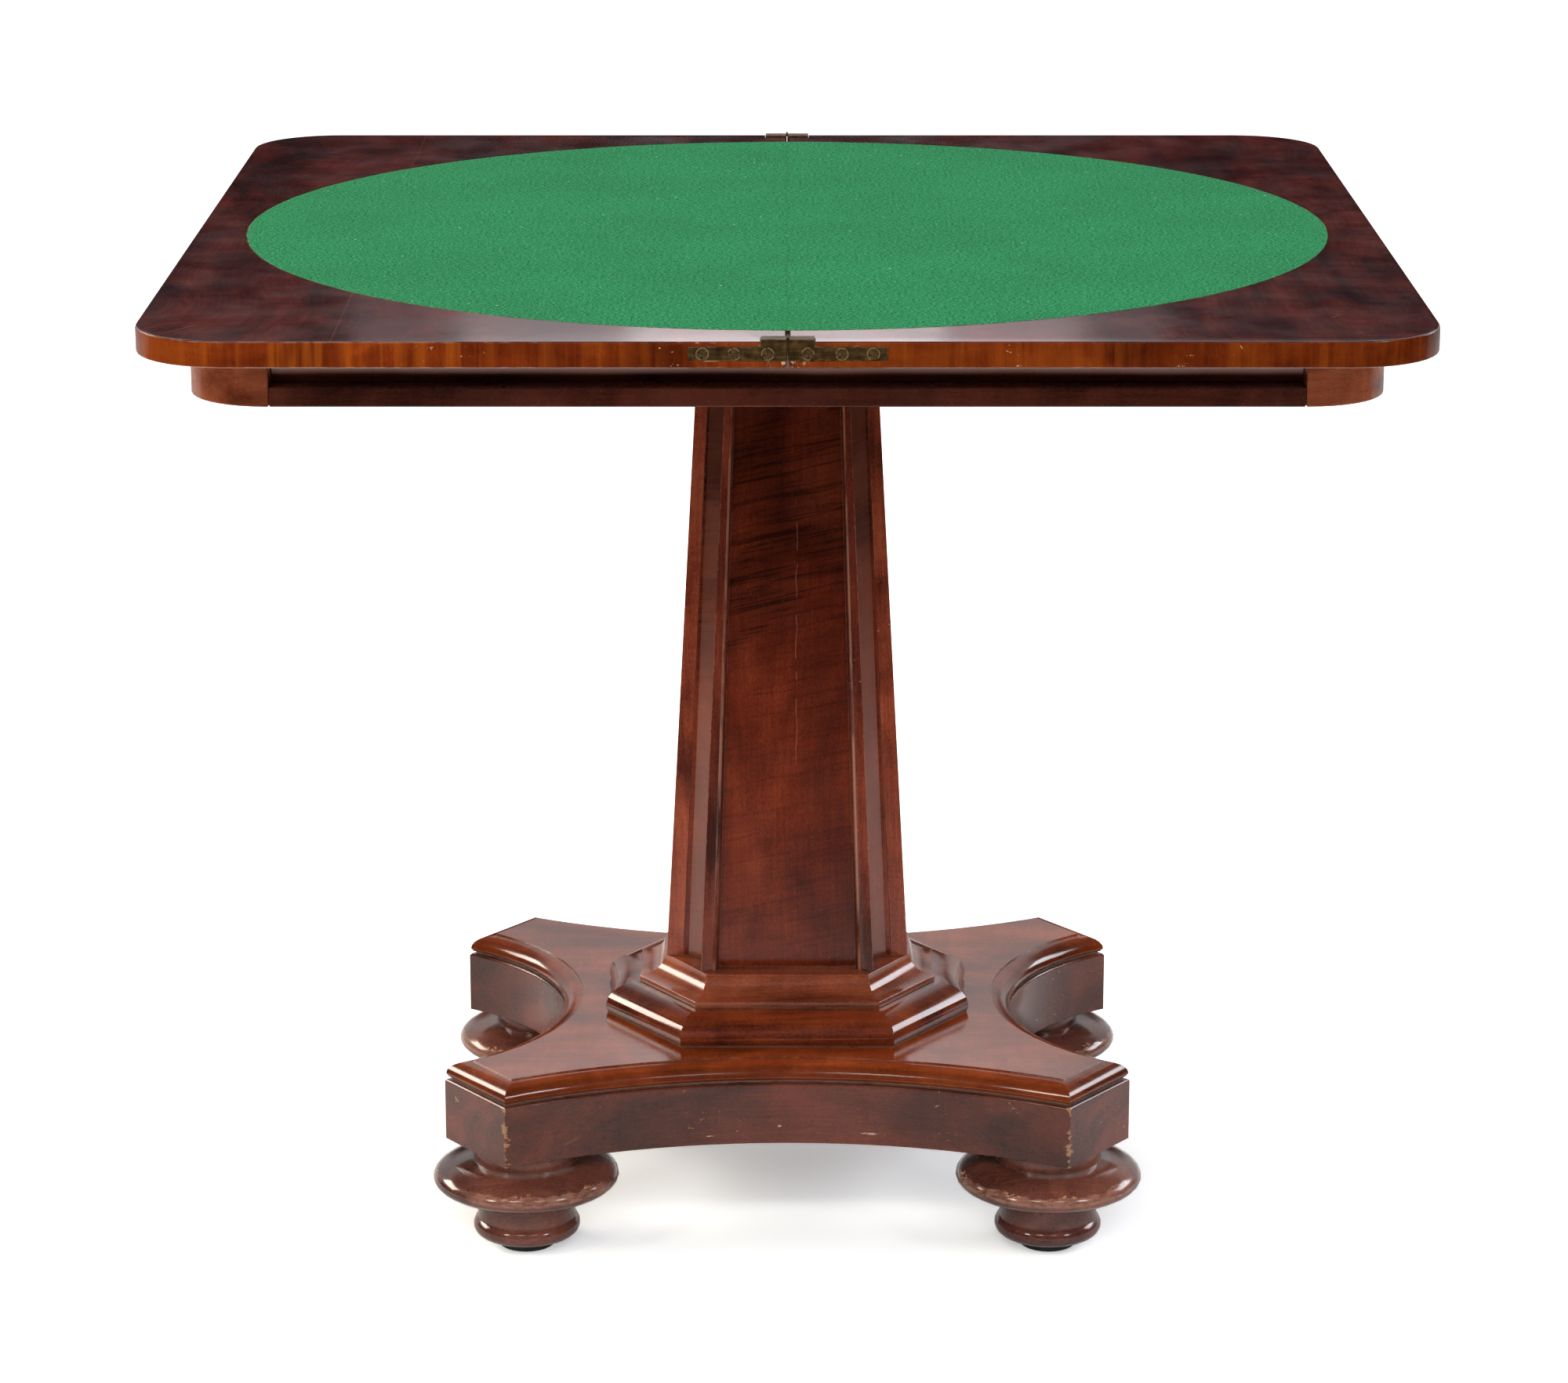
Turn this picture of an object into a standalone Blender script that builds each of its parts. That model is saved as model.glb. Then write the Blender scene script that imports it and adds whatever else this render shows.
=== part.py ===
"""Pedestal card table with a swivelling fold-over top, open for play.

Metres, +Z up, origin on the floor under the middle of the open top, front at -Y.
The right leaf turns on the frieze about a hidden pivot, and the left leaf folds over
the right one on a pair of brass edge hinges.
"""

import math

import bmesh
import bpy
from mathutils import Matrix, Vector

# Clearances
GAP = 0.0003
CUT_OVERRUN = 0.004
MERGE_DISTANCE = 0.00001

# Top
LEAF_WIDTH = 0.4415
LEAF_LENGTH = 0.888
LEAF_THICKNESS = 0.018
LEAF_CORNER_RADIUS = 0.066
LEAF_ARRIS = 0.0012
JOINT_GAP = 0.002
BAIZE_MARGIN = 0.0365
BAIZE_THICKNESS = 0.001
BAIZE_RECESS = 0.0006
BAIZE_JOINT_MARGIN = 0.0006

# Brass edge hinges
HINGE_LENGTH = 0.0665
HINGE_HEAD_WIDTH = 0.018
HINGE_HEAD_HEIGHT = 0.0146
HINGE_HEAD_DEPTH = 0.012
HINGE_PROUD = 0.0015
HINGE_INSET = 0.0003
HINGE_STRAP_DROP = 0.0082
HINGE_STRAP_HEIGHT_INNER = 0.0092
HINGE_STRAP_HEIGHT_OUTER = 0.0086
HINGE_STRAP_DEPTH = 0.0025
HINGE_PIN_RADIUS = 0.001
HINGE_HEAD_CLEARANCE = 0.0002

# Swivel under the right leaf
PIVOT_PLATE_LENGTH = 0.100
PIVOT_PLATE_WIDTH = 0.060
PIVOT_PLATE_THICKNESS = 0.003
PIVOT_PLATE_CORNER = 0.008
PIVOT_BOLT_RADIUS = 0.008
PIVOT_BOLT_TAIL = 0.004
PIVOT_WASHER_RADIUS = 0.020
PIVOT_WASHER_THICKNESS = 0.003
PIVOT_NUT_RADIUS = 0.014
PIVOT_NUT_HEIGHT = 0.010

# Frieze
TOP_OVERHANG = 0.0102
FRIEZE_HEIGHT = 0.0761
CORNER_BLOCK_SIZE = 0.062
CORNER_BLOCK_RADIUS = 0.060
RAIL_HEIGHT = 0.0142
RAIL_DEPTH = 0.0505
RAIL_ARRIS = 0.0008
BOARD_SETBACK = 0.022
BOARD_TOP_SETBACK = 0.004
BOARD_PLAIN_HEIGHT = 0.002
BOARD_HOLLOW_HEIGHT = 0.028
BOARD_THICKNESS = 0.016

# Inside the frieze
FLOOR_THICKNESS = 0.008
BEARER_WIDTH = 0.190
BEARER_THICKNESS = 0.022
PARTITION_THICKNESS = 0.010
PARTITION_TOP_CLEARANCE = 0.002
PARTITION_RAIL_CLEARANCE = 0.009
PIVOT_RAIL_WIDTH = 0.080
PIVOT_RAIL_THICKNESS = 0.024

# Column, at its foot and at its head
COLUMN_LENGTH = 0.474
COLUMN_HALF_WIDTH_LOW = 0.0938
COLUMN_HALF_WIDTH_HIGH = 0.0679
COLUMN_HALF_DEPTH_LOW = 0.071
COLUMN_HALF_DEPTH_HIGH = 0.051
FRONT_ARM_HALF_LOW = 0.0665
FRONT_ARM_HALF_HIGH = 0.0460
SIDE_ARM_HALF_LOW = 0.0315
SIDE_ARM_HALF_HIGH = 0.0227
CANT_LOW = 0.0105
CANT_HIGH = 0.0110
STRIP_WIDTH_LOW = 0.0135
STRIP_WIDTH_HIGH = 0.0068
STRIP_PROJECTION_LOW = 0.013
STRIP_PROJECTION_HIGH = 0.0094
STRIP_ROUND_ACROSS_SHARE = 0.60
STRIP_ROUND_DEEP_SHARE = 0.70

# Socle, an octagon longer than it is deep
SOCLE_MARGIN_X = 0.001
SOCLE_MARGIN_Y = 0.0055
SOCLE_FRONT_HALF = 0.062
SOCLE_SIDE_HALF = 0.0255
SOCLE_FRONT_SPREAD_SHARE = 0.42
SOCLE_SIDE_SPREAD_SHARE = 0.33
SOCLE_SIDE_HOLLOW_SHARE = 0.075
COVE_HEIGHT = 0.0204
COVE_PROJECTION = 0.020
COVE_FILLET_HEIGHT = 0.0045
COVE_LIP_HEIGHT = 0.0010
COVE_LIP_SETBACK = 0.0008
OVOLO_HEIGHT = 0.022
OVOLO_LEDGE = 0.0020
OVOLO_PROJECTION = 0.0245
OVOLO_NOSE_HEIGHT = 0.0055

# Platform
PLATFORM_HALF_WIDTH = 0.260
PLATFORM_HALF_DEPTH = 0.2125
PLATFORM_FRONT_HALF = 0.211
PLATFORM_SIDE_HALF = 0.148
PLATFORM_FRONT_HOLLOW = 0.0535
PLATFORM_SIDE_HOLLOW = 0.084
PLINTH_HEIGHT = 0.048
PLINTH_ARRIS = 0.0012
SLAB_HEIGHT = 0.0157
SLAB_QUIRK_HEIGHT = 0.0018
SLAB_QUIRK_SETBACK = 0.0036
SLAB_NOSE_SETBACK = 0.0006
SLAB_NOSE_HEIGHT = 0.0042
SLAB_EDGE_WIDTH = 0.0147
SLAB_STEP = 0.0012

# Feet
FOOT_X = 0.1987
FOOT_Y = 0.1568
FOOT_HEIGHT = 0.0725
COLLAR_RADIUS = 0.0400
BUN_RADIUS = 0.0706
BUN_ROUND = 0.0320
BUN_MIDDLE_DROP = 0.0251
BUN_RISE = 0.0145
BUN_FALL = 0.0120
BUN_UNDERCUT_RADIUS = 0.0400
NECK_TOP_RADIUS = 0.0370
NECK_RADIUS = 0.0360
NECK_TOP_DROP = 0.0392
NECK_WAIST_DROP = 0.0480
RING_RADIUS = 0.0407
RING_ROUND = 0.0075
RING_TOP_RADIUS = 0.0375
FOOT_BASE_RADIUS = 0.0300
FOOT_BASE_DROP = 0.0010
GLIDE_RADIUS = 0.022
GLIDE_HEIGHT = 0.008
GLIDE_ARRIS = 0.0015

# Faceting
SHARP_ANGLE = math.radians(32)
TURNED_STEPS = 36
ROUND_STEPS = 10
MOULD_STEPS = 6
SOCLE_SIDE_STEPS = 4
FRONT_ARC_STEPS = 22
SIDE_ARC_STEPS = 18
BAIZE_STEPS = 72
BORE_STEPS = 24
NUT_SIDES = 6
BUN_STEPS = 7
STRIP_STEPS = 4

# Levels, from the floor up
FOOT_Z = GLIDE_HEIGHT + GAP
PLINTH_Z = FOOT_Z + FOOT_HEIGHT + GAP
SLAB_Z = PLINTH_Z + PLINTH_HEIGHT + GAP
OVOLO_Z = SLAB_Z + SLAB_HEIGHT + GAP
COVE_Z = OVOLO_Z + OVOLO_HEIGHT + GAP
COLUMN_Z = COVE_Z + COVE_HEIGHT + GAP
FRIEZE_Z = COLUMN_Z + COLUMN_LENGTH + GAP
FRIEZE_TOP_Z = FRIEZE_Z + FRIEZE_HEIGHT
LEAF_Z = FRIEZE_TOP_Z + GAP
LEAF_TOP_Z = LEAF_Z + LEAF_THICKNESS
HEAD_TOP_Z = LEAF_TOP_Z + HINGE_PROUD
FOLD_AXIS_Z = HEAD_TOP_Z + GAP
BOARD_Z = FRIEZE_Z + RAIL_HEIGHT + GAP

# Places and sizes that several pieces share
LEAF_FRONT_Y = LEAF_LENGTH / 2
BAIZE_RADIUS = min(LEAF_WIDTH, LEAF_FRONT_Y) - BAIZE_MARGIN
PIVOT_X = LEAF_WIDTH / 4
PIVOT_Y = LEAF_WIDTH / 4
PARTITION_RIGHT = PIVOT_X - PIVOT_RAIL_WIDTH / 2 - PARTITION_RAIL_CLEARANCE
FRIEZE_LENGTH = LEAF_LENGTH - 2 * TOP_OVERHANG
FRIEZE_DEPTH = LEAF_WIDTH - 2 * TOP_OVERHANG
FRIEZE_HALF_LENGTH = FRIEZE_LENGTH / 2
FRIEZE_HALF_DEPTH = FRIEZE_DEPTH / 2
BOARD_FACE_X = FRIEZE_HALF_LENGTH - BOARD_SETBACK
BOARD_FACE_Y = FRIEZE_HALF_DEPTH - BOARD_SETBACK
INSIDE_X = BOARD_FACE_X - BOARD_THICKNESS - GAP
INSIDE_Y = BOARD_FACE_Y - BOARD_THICKNESS - GAP
BLOCK_INNER_X = FRIEZE_HALF_LENGTH - CORNER_BLOCK_SIZE - GAP
BLOCK_INNER_Y = FRIEZE_HALF_DEPTH - CORNER_BLOCK_SIZE - GAP

SIDES = {"left": -1, "right": 1}
ENDS = {"front": -1, "back": 1}


def clear_scene():
    for item in list(bpy.data.objects):
        bpy.data.objects.remove(item, do_unlink=True)


def new_collection(name):
    collection = bpy.data.collections.new(name)
    bpy.context.scene.collection.children.link(collection)
    return collection


def new_material(name, colour, roughness, metallic=0.0):
    material = bpy.data.materials.new(name)
    material.use_nodes = True
    shader = material.node_tree.nodes["Principled BSDF"]
    shader.inputs["Base Color"].default_value = (*colour, 1.0)
    shader.inputs["Roughness"].default_value = roughness
    shader.inputs["Metallic"].default_value = metallic
    return material


clear_scene()
TABLE = new_collection("card_table")
CUTTERS = new_collection("cutters")

TOP_WOOD = new_material("top_mahogany", (0.13, 0.035, 0.028), 0.22)
FRIEZE_WOOD = new_material("frieze_mahogany", (0.15, 0.040, 0.022), 0.28)
INNER_WOOD = new_material("carcase_pine", (0.42, 0.27, 0.14), 0.70)
COLUMN_WOOD = new_material("column_mahogany", (0.17, 0.045, 0.024), 0.28)
BASE_WOOD = new_material("base_mahogany", (0.20, 0.055, 0.026), 0.26)
BAIZE = new_material("baize", (0.03, 0.27, 0.11), 0.95)
BRASS = new_material("aged_brass", (0.20, 0.15, 0.06), 0.45, 1.0)
IRON = new_material("iron", (0.10, 0.09, 0.085), 0.50, 1.0)
GLIDE_BLACK = new_material("glide_black", (0.02, 0.02, 0.02), 0.50)


def own_material(material, name):
    """Gives each piece a material of its own, copied from its kind."""
    copy = material.copy()
    copy.name = name
    return copy


def new_object(name, mesh, material):
    item = bpy.data.objects.new(name, mesh)
    TABLE.objects.link(item)
    mesh.materials.append(own_material(material, f"{name}_material"))
    return item


def mesh_from(bm, name):
    mesh = bpy.data.meshes.new(name)
    bm.to_mesh(mesh)
    bm.free()
    return mesh


def smooth(item):
    item.data.shade_smooth()
    item.data.set_sharp_from_angle(angle=SHARP_ANGLE)


def lofted_mesh(name, rings):
    """Skins outlines of equal point counts, given as (points, height) from the bottom up."""
    bm = bmesh.new()
    loops = [[bm.verts.new((x, y, height)) for x, y in points] for points, height in rings]
    count = len(loops[0])
    for lower, upper in zip(loops, loops[1:]):
        for index in range(count):
            after = (index + 1) % count
            bm.faces.new((lower[index], lower[after], upper[after], upper[index]))
    bm.faces.new(list(reversed(loops[0])))
    bm.faces.new(loops[-1])
    return mesh_from(bm, name)


def lofted(name, rings, material):
    item = new_object(name, lofted_mesh(name, rings), material)
    smooth(item)
    return item


def extruded_mesh(name, points, low, high):
    """A flat outline raised from one height to another."""
    bm = bmesh.new()
    face = bm.faces.new([bm.verts.new((x, y, low)) for x, y in points])
    raised = bmesh.ops.extrude_face_region(bm, geom=[face])["geom"]
    verts = [part for part in raised if isinstance(part, bmesh.types.BMVert)]
    bmesh.ops.translate(bm, verts=verts, vec=(0, 0, high - low))
    bmesh.ops.recalc_face_normals(bm, faces=bm.faces)
    return mesh_from(bm, name)


def extruded(name, points, low, high, material):
    item = new_object(name, extruded_mesh(name, points, low, high), material)
    smooth(item)
    return item


def standing_mesh(name, points, near, far):
    """An outline drawn in X and Z, raised along Y from near to far."""
    mesh = extruded_mesh(name, points, -far, -near)
    mesh.transform(Matrix.Rotation(math.radians(90), 4, "X"))
    return mesh


def box_mesh(name, low, high):
    bm = bmesh.new()
    bmesh.ops.create_cube(bm, size=1)
    size = Vector(high) - Vector(low)
    bmesh.ops.scale(bm, verts=bm.verts, vec=size)
    bmesh.ops.translate(bm, verts=bm.verts, vec=(Vector(high) + Vector(low)) / 2)
    return mesh_from(bm, name)


def box(name, low, high, material):
    return new_object(name, box_mesh(name, low, high), material)


def cylinder_mesh(name, radius, low, high, steps, centre=(0, 0)):
    bm = bmesh.new()
    bmesh.ops.create_cone(
        bm, cap_ends=True, segments=steps, radius1=radius, radius2=radius, depth=high - low
    )
    bmesh.ops.translate(bm, verts=bm.verts, vec=(*centre, (low + high) / 2))
    return mesh_from(bm, name)


def turned(name, profile, location, material):
    """Turns a profile of (radius, height), listed from the top down, about its own Z axis."""
    mesh = bpy.data.meshes.new(name)
    points = [(radius, 0, height) for radius, height in profile]
    edges = [(index, index + 1) for index in range(len(points) - 1)]
    mesh.from_pydata(points, edges, [])
    item = new_object(name, mesh, material)
    item.location = location
    screw = item.modifiers.new("turn", "SCREW")
    screw.steps = TURNED_STEPS
    screw.render_steps = TURNED_STEPS
    screw.use_merge_vertices = True
    screw.merge_threshold = MERGE_DISTANCE
    screw.use_smooth_shade = True
    return item


def bevel(item, width, steps=2):
    modifier = item.modifiers.new("arris", "BEVEL")
    modifier.width = width
    modifier.segments = steps
    modifier.limit_method = "ANGLE"
    modifier.angle_limit = math.radians(60)


def boolean(item, mesh, operation="DIFFERENCE"):
    """Cuts a mesh from a piece, or joins it on."""
    cutter = bpy.data.objects.new(f"{item.name}_{mesh.name}", mesh)
    CUTTERS.objects.link(cutter)
    cutter.hide_render = True
    cutter.display_type = "WIRE"
    modifier = item.modifiers.new(mesh.name, "BOOLEAN")
    modifier.operation = operation
    modifier.solver = "EXACT"
    modifier.object = cutter


def arc(centre, radius, start, end, steps):
    """Points on a round stretch, both ends included, angles in degrees."""
    angles = [math.radians(start + (end - start) * step / steps) for step in range(steps + 1)]
    return [
        Vector((centre[0] + radius * math.cos(a), centre[1] + radius * math.sin(a)))
        for a in angles
    ]


def elliptic(centre, across, up, start, end, steps):
    """Points of an elliptical moulding, both ends included, angles in degrees."""
    angles = [math.radians(start + (end - start) * step / steps) for step in range(steps + 1)]
    return [(centre[0] + across * math.cos(a), centre[1] + up * math.sin(a)) for a in angles]


def hollow(start, end, depth, steps):
    """A round hollow from start towards end, bending to the left, without its last point."""
    start = Vector(start)
    end = Vector(end)
    half = (end - start).length / 2
    radius = (half * half + depth * depth) / (2 * depth)
    along = (end - start).normalized()
    left = Vector((-along.y, along.x))
    centre = (start + end) / 2 - left * (radius - depth)
    sweep = math.asin(half / radius)
    points = []
    for step in range(steps):
        angle = -sweep + 2 * sweep * step / steps
        points.append(centre + along * radius * math.sin(angle) + left * radius * math.cos(angle))
    return points


def grown(outline, distance):
    """An anticlockwise outline moved outward by a distance, with mitred corners."""
    moved = []
    for index, point in enumerate(outline):
        before = (point - outline[index - 1]).normalized()
        after = (outline[(index + 1) % len(outline)] - point).normalized()
        normal_before = Vector((before.y, -before.x))
        normal_after = Vector((after.y, -after.x))
        mitre = (normal_before + normal_after) / (1 + normal_before.dot(normal_after))
        moved.append(point + mitre * distance)
    return moved


def mirrored(points, side_x, side_y):
    """Points moved to another quarter, kept anticlockwise."""
    moved = [Vector((side_x * x, side_y * y)) for x, y in points]
    if side_x * side_y < 0:
        moved.reverse()
    return moved


# The two leaves and their baize

def leaf_outline(side):
    """Square at the joint and rounded at the two outer corners."""
    inner = JOINT_GAP / 2
    corner_x = LEAF_WIDTH - LEAF_CORNER_RADIUS
    corner_y = LEAF_FRONT_Y - LEAF_CORNER_RADIUS
    points = [Vector((inner, -LEAF_FRONT_Y))]
    points += arc((corner_x, -corner_y), LEAF_CORNER_RADIUS, -90, 0, ROUND_STEPS)
    points += arc((corner_x, corner_y), LEAF_CORNER_RADIUS, 0, 90, ROUND_STEPS)
    points.append(Vector((inner, LEAF_FRONT_Y)))
    return mirrored(points, side, 1)


def baize_outline(side, inner, radius):
    """Half of a disc, cut straight at a distance from the joint."""
    start = math.degrees(math.acos(inner / radius))
    return mirrored(arc((0, 0), radius, -start, start, BAIZE_STEPS // 2), side, 1)


def hinge_strap_outline(side, grow):
    """One plate seen from the front: a tall head at the joint and a tapering strap."""
    middle = LEAF_TOP_Z - HINGE_STRAP_DROP
    inner = HINGE_HEAD_CLEARANCE - grow
    head = HINGE_HEAD_WIDTH + grow
    tip = HINGE_LENGTH + grow
    rise_inner = HINGE_STRAP_HEIGHT_INNER / 2 + grow
    rise_outer = HINGE_STRAP_HEIGHT_OUTER / 2 + grow
    low = HEAD_TOP_Z - HINGE_HEAD_HEIGHT - grow
    points = [
        (inner, low),
        (head, low),
        (head, middle - rise_inner),
        (tip, middle - rise_outer),
        (tip, middle + rise_outer),
        (head, middle + rise_inner),
        (head, HEAD_TOP_Z + grow),
        (inner, HEAD_TOP_Z + grow),
    ]
    return mirrored(points, side, 1)


def hinge_head_outline(side, grow):
    return hinge_strap_outline(side, grow)[:2] + hinge_strap_outline(side, grow)[-2:]


def hinge_reach(end, depth):
    """The near and far Y of a hinge piece let into an end of the leaf by a depth."""
    face = LEAF_FRONT_Y - HINGE_INSET
    return (-face, depth - face) if end < 0 else (face - depth, face)


def add_leaf(name, side):
    leaf = extruded(name, leaf_outline(side), LEAF_Z, LEAF_TOP_Z, TOP_WOOD)
    bevel(leaf, LEAF_ARRIS)
    recess_floor = LEAF_TOP_Z - BAIZE_RECESS
    recess = baize_outline(side, JOINT_GAP / 2 - CUT_OVERRUN, BAIZE_RADIUS + GAP)
    boolean(leaf, extruded_mesh("baize_recess", recess, recess_floor, LEAF_TOP_Z + CUT_OVERRUN))
    for end_name, end in ENDS.items():
        near, far = hinge_reach(end, HINGE_STRAP_DEPTH + GAP)
        deep_near, deep_far = hinge_reach(end, HINGE_HEAD_DEPTH + GAP)
        if end < 0:
            near -= CUT_OVERRUN
            deep_near -= CUT_OVERRUN
        else:
            far += CUT_OVERRUN
            deep_far += CUT_OVERRUN
        strap = hinge_strap_outline(side, GAP)
        boolean(leaf, standing_mesh(f"strap_mortise_{end_name}", strap, near, far))
        head_low = HEAD_TOP_Z - HINGE_HEAD_HEIGHT - GAP
        reach_x = HINGE_HEAD_WIDTH + GAP
        low_x, high_x = sorted((side * -CUT_OVERRUN, side * reach_x))
        low = (low_x, deep_near, head_low)
        high = (high_x, deep_far, HEAD_TOP_Z + CUT_OVERRUN)
        boolean(leaf, box_mesh(f"head_mortise_{end_name}", low, high))
    return leaf


def add_baize(name, side):
    low = LEAF_TOP_Z - BAIZE_RECESS + GAP
    outline = baize_outline(side, JOINT_GAP / 2 + BAIZE_JOINT_MARGIN, BAIZE_RADIUS)
    extruded(name, outline, low, low + BAIZE_THICKNESS, BAIZE)


def add_hinge_plate(name, side, end):
    near, far = hinge_reach(end, HINGE_STRAP_DEPTH)
    plate = new_object(name, standing_mesh(name, hinge_strap_outline(side, 0), near, far), BRASS)
    deep_near, deep_far = hinge_reach(end, HINGE_HEAD_DEPTH)
    head = standing_mesh("head", hinge_head_outline(side, 0), deep_near, deep_far)
    boolean(plate, head, "UNION")
    radius = HINGE_PIN_RADIUS + GAP
    groove = cylinder_mesh("pin_groove", radius, -LEAF_LENGTH, LEAF_LENGTH, BORE_STEPS)
    groove.transform(Matrix.Rotation(math.radians(90), 4, "X"))
    groove.transform(Matrix.Translation((0, 0, FOLD_AXIS_Z)))
    boolean(plate, groove)


def add_hinge_pin(name, end):
    near, far = hinge_reach(end, HINGE_HEAD_DEPTH)
    mesh = cylinder_mesh(name, HINGE_PIN_RADIUS, near, far, BORE_STEPS)
    mesh.transform(Matrix.Rotation(math.radians(-90), 4, "X"))
    pin = new_object(name, mesh, BRASS)
    pin.location = (0, 0, FOLD_AXIS_Z)
    smooth(pin)


# The swivel

def rounded_rectangle(centre, length, width, radius, steps):
    half_x = length / 2 - radius
    half_y = width / 2 - radius
    points = []
    for sign_x, sign_y, start in ((1, -1, -90), (1, 1, 0), (-1, 1, 90), (-1, -1, 180)):
        middle = (centre[0] + sign_x * half_x, centre[1] + sign_y * half_y)
        points += arc(middle, radius, start, start + 90, steps)
    return points


def pivot_plate_outline(grow):
    length = PIVOT_PLATE_LENGTH + 2 * grow
    width = PIVOT_PLATE_WIDTH + 2 * grow
    corner = PIVOT_PLATE_CORNER + grow
    return rounded_rectangle((PIVOT_X, PIVOT_Y), length, width, corner, STRIP_STEPS)


def add_pivot(leaf):
    """Plate let into the leaf, bolt down through the pivot rail, washer and nut below it."""
    plate_top = LEAF_Z + PIVOT_PLATE_THICKNESS
    mortise = pivot_plate_outline(GAP)
    boolean(leaf, extruded_mesh("plate_mortise", mortise, LEAF_Z - CUT_OVERRUN, plate_top + GAP))
    extruded("pivot_plate", pivot_plate_outline(0), LEAF_Z, plate_top, IRON)
    rail_bottom = FRIEZE_TOP_Z - PIVOT_RAIL_THICKNESS
    washer_top = rail_bottom - GAP
    washer_bottom = washer_top - PIVOT_WASHER_THICKNESS
    nut_top = washer_bottom - GAP
    nut_bottom = nut_top - PIVOT_NUT_HEIGHT
    bolt_bottom = nut_bottom - PIVOT_BOLT_TAIL
    centre = (PIVOT_X, PIVOT_Y)
    bolt = cylinder_mesh("pivot_bolt", PIVOT_BOLT_RADIUS, bolt_bottom, LEAF_Z - GAP, BORE_STEPS, centre)
    smooth(new_object("pivot_bolt", bolt, IRON))
    bore = PIVOT_BOLT_RADIUS + GAP
    for name, radius, low, high, steps in (
        ("pivot_washer", PIVOT_WASHER_RADIUS, washer_bottom, washer_top, BORE_STEPS),
        ("pivot_nut", PIVOT_NUT_RADIUS, nut_bottom, nut_top, NUT_SIDES),
    ):
        piece = new_object(name, cylinder_mesh(name, radius, low, high, steps, centre), IRON)
        hole_low = low - CUT_OVERRUN
        hole_high = high + CUT_OVERRUN
        boolean(piece, cylinder_mesh("bore", bore, hole_low, hole_high, BORE_STEPS, centre))
    rail_half = PIVOT_RAIL_WIDTH / 2
    rail_low = (PIVOT_X - rail_half, -INSIDE_Y, rail_bottom)
    rail_high = (PIVOT_X + rail_half, INSIDE_Y, FRIEZE_TOP_Z)
    rail = box("pivot_rail", rail_low, rail_high, INNER_WOOD)
    hole_low = rail_bottom - CUT_OVERRUN
    hole_high = FRIEZE_TOP_Z + CUT_OVERRUN
    boolean(rail, cylinder_mesh("bore", bore, hole_low, hole_high, BORE_STEPS, centre))


# The frieze

def corner_block_outline(side, end):
    inner_x = FRIEZE_HALF_LENGTH - CORNER_BLOCK_SIZE
    inner_y = FRIEZE_HALF_DEPTH - CORNER_BLOCK_SIZE
    centre_x = FRIEZE_HALF_LENGTH - CORNER_BLOCK_RADIUS
    centre_y = FRIEZE_HALF_DEPTH - CORNER_BLOCK_RADIUS
    points = [Vector((inner_x, inner_y)), Vector((FRIEZE_HALF_LENGTH, inner_y))]
    points += arc((centre_x, centre_y), CORNER_BLOCK_RADIUS, 0, 90, ROUND_STEPS)
    points.append(Vector((inner_x, FRIEZE_HALF_DEPTH)))
    return mirrored(points, side, end)


def board_profile():
    """Set-back and height: a hollow that flares out from the rail, under a flat band."""
    reach = BOARD_SETBACK - BOARD_TOP_SETBACK
    centre = (BOARD_TOP_SETBACK, BOARD_PLAIN_HEIGHT)
    curve = elliptic(centre, reach, BOARD_HOLLOW_HEIGHT, 0, 90, MOULD_STEPS)
    return [(BOARD_SETBACK, 0), *curve, (BOARD_TOP_SETBACK, FRIEZE_TOP_Z - BOARD_Z)]


def add_board(name, half_length, half_across, quarter_turns):
    """One side of the frieze, made facing the front and turned to its place."""
    inner = half_across - BOARD_SETBACK - BOARD_THICKNESS
    turn = Matrix.Rotation(quarter_turns * math.radians(90), 2)
    rings = []
    for setback, height in board_profile():
        face = half_across - setback
        plan = [(-half_length, -face), (half_length, -face), (half_length, -inner), (-half_length, -inner)]
        rings.append(([turn @ Vector(point) for point in plan], BOARD_Z + height))
    lofted(name, rings, FRIEZE_WOOD)


def add_frieze():
    for end_name, end in ENDS.items():
        for side_name, side in SIDES.items():
            name = f"corner_block_{end_name}_{side_name}"
            outline = corner_block_outline(side, end)
            bevel(extruded(name, outline, FRIEZE_Z, FRIEZE_TOP_Z, FRIEZE_WOOD), RAIL_ARRIS, 1)
        add_board(f"frieze_board_{end_name}", BLOCK_INNER_X, FRIEZE_HALF_DEPTH, 1 + end)
        near, far = sorted((end * FRIEZE_HALF_DEPTH, end * (FRIEZE_HALF_DEPTH - RAIL_DEPTH)))
        low = (-BLOCK_INNER_X, near, FRIEZE_Z)
        high = (BLOCK_INNER_X, far, FRIEZE_Z + RAIL_HEIGHT)
        bevel(box(f"rail_{end_name}", low, high, FRIEZE_WOOD), RAIL_ARRIS, 1)
    for side_name, side in SIDES.items():
        add_board(f"frieze_end_{side_name}", BLOCK_INNER_Y, FRIEZE_HALF_LENGTH, 2 - side)
        near, far = sorted((side * FRIEZE_HALF_LENGTH, side * (FRIEZE_HALF_LENGTH - RAIL_DEPTH)))
        low = (near, -BLOCK_INNER_Y, FRIEZE_Z)
        high = (far, BLOCK_INNER_Y, FRIEZE_Z + RAIL_HEIGHT)
        bevel(box(f"rail_{side_name}", low, high, FRIEZE_WOOD), RAIL_ARRIS, 1)


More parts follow.
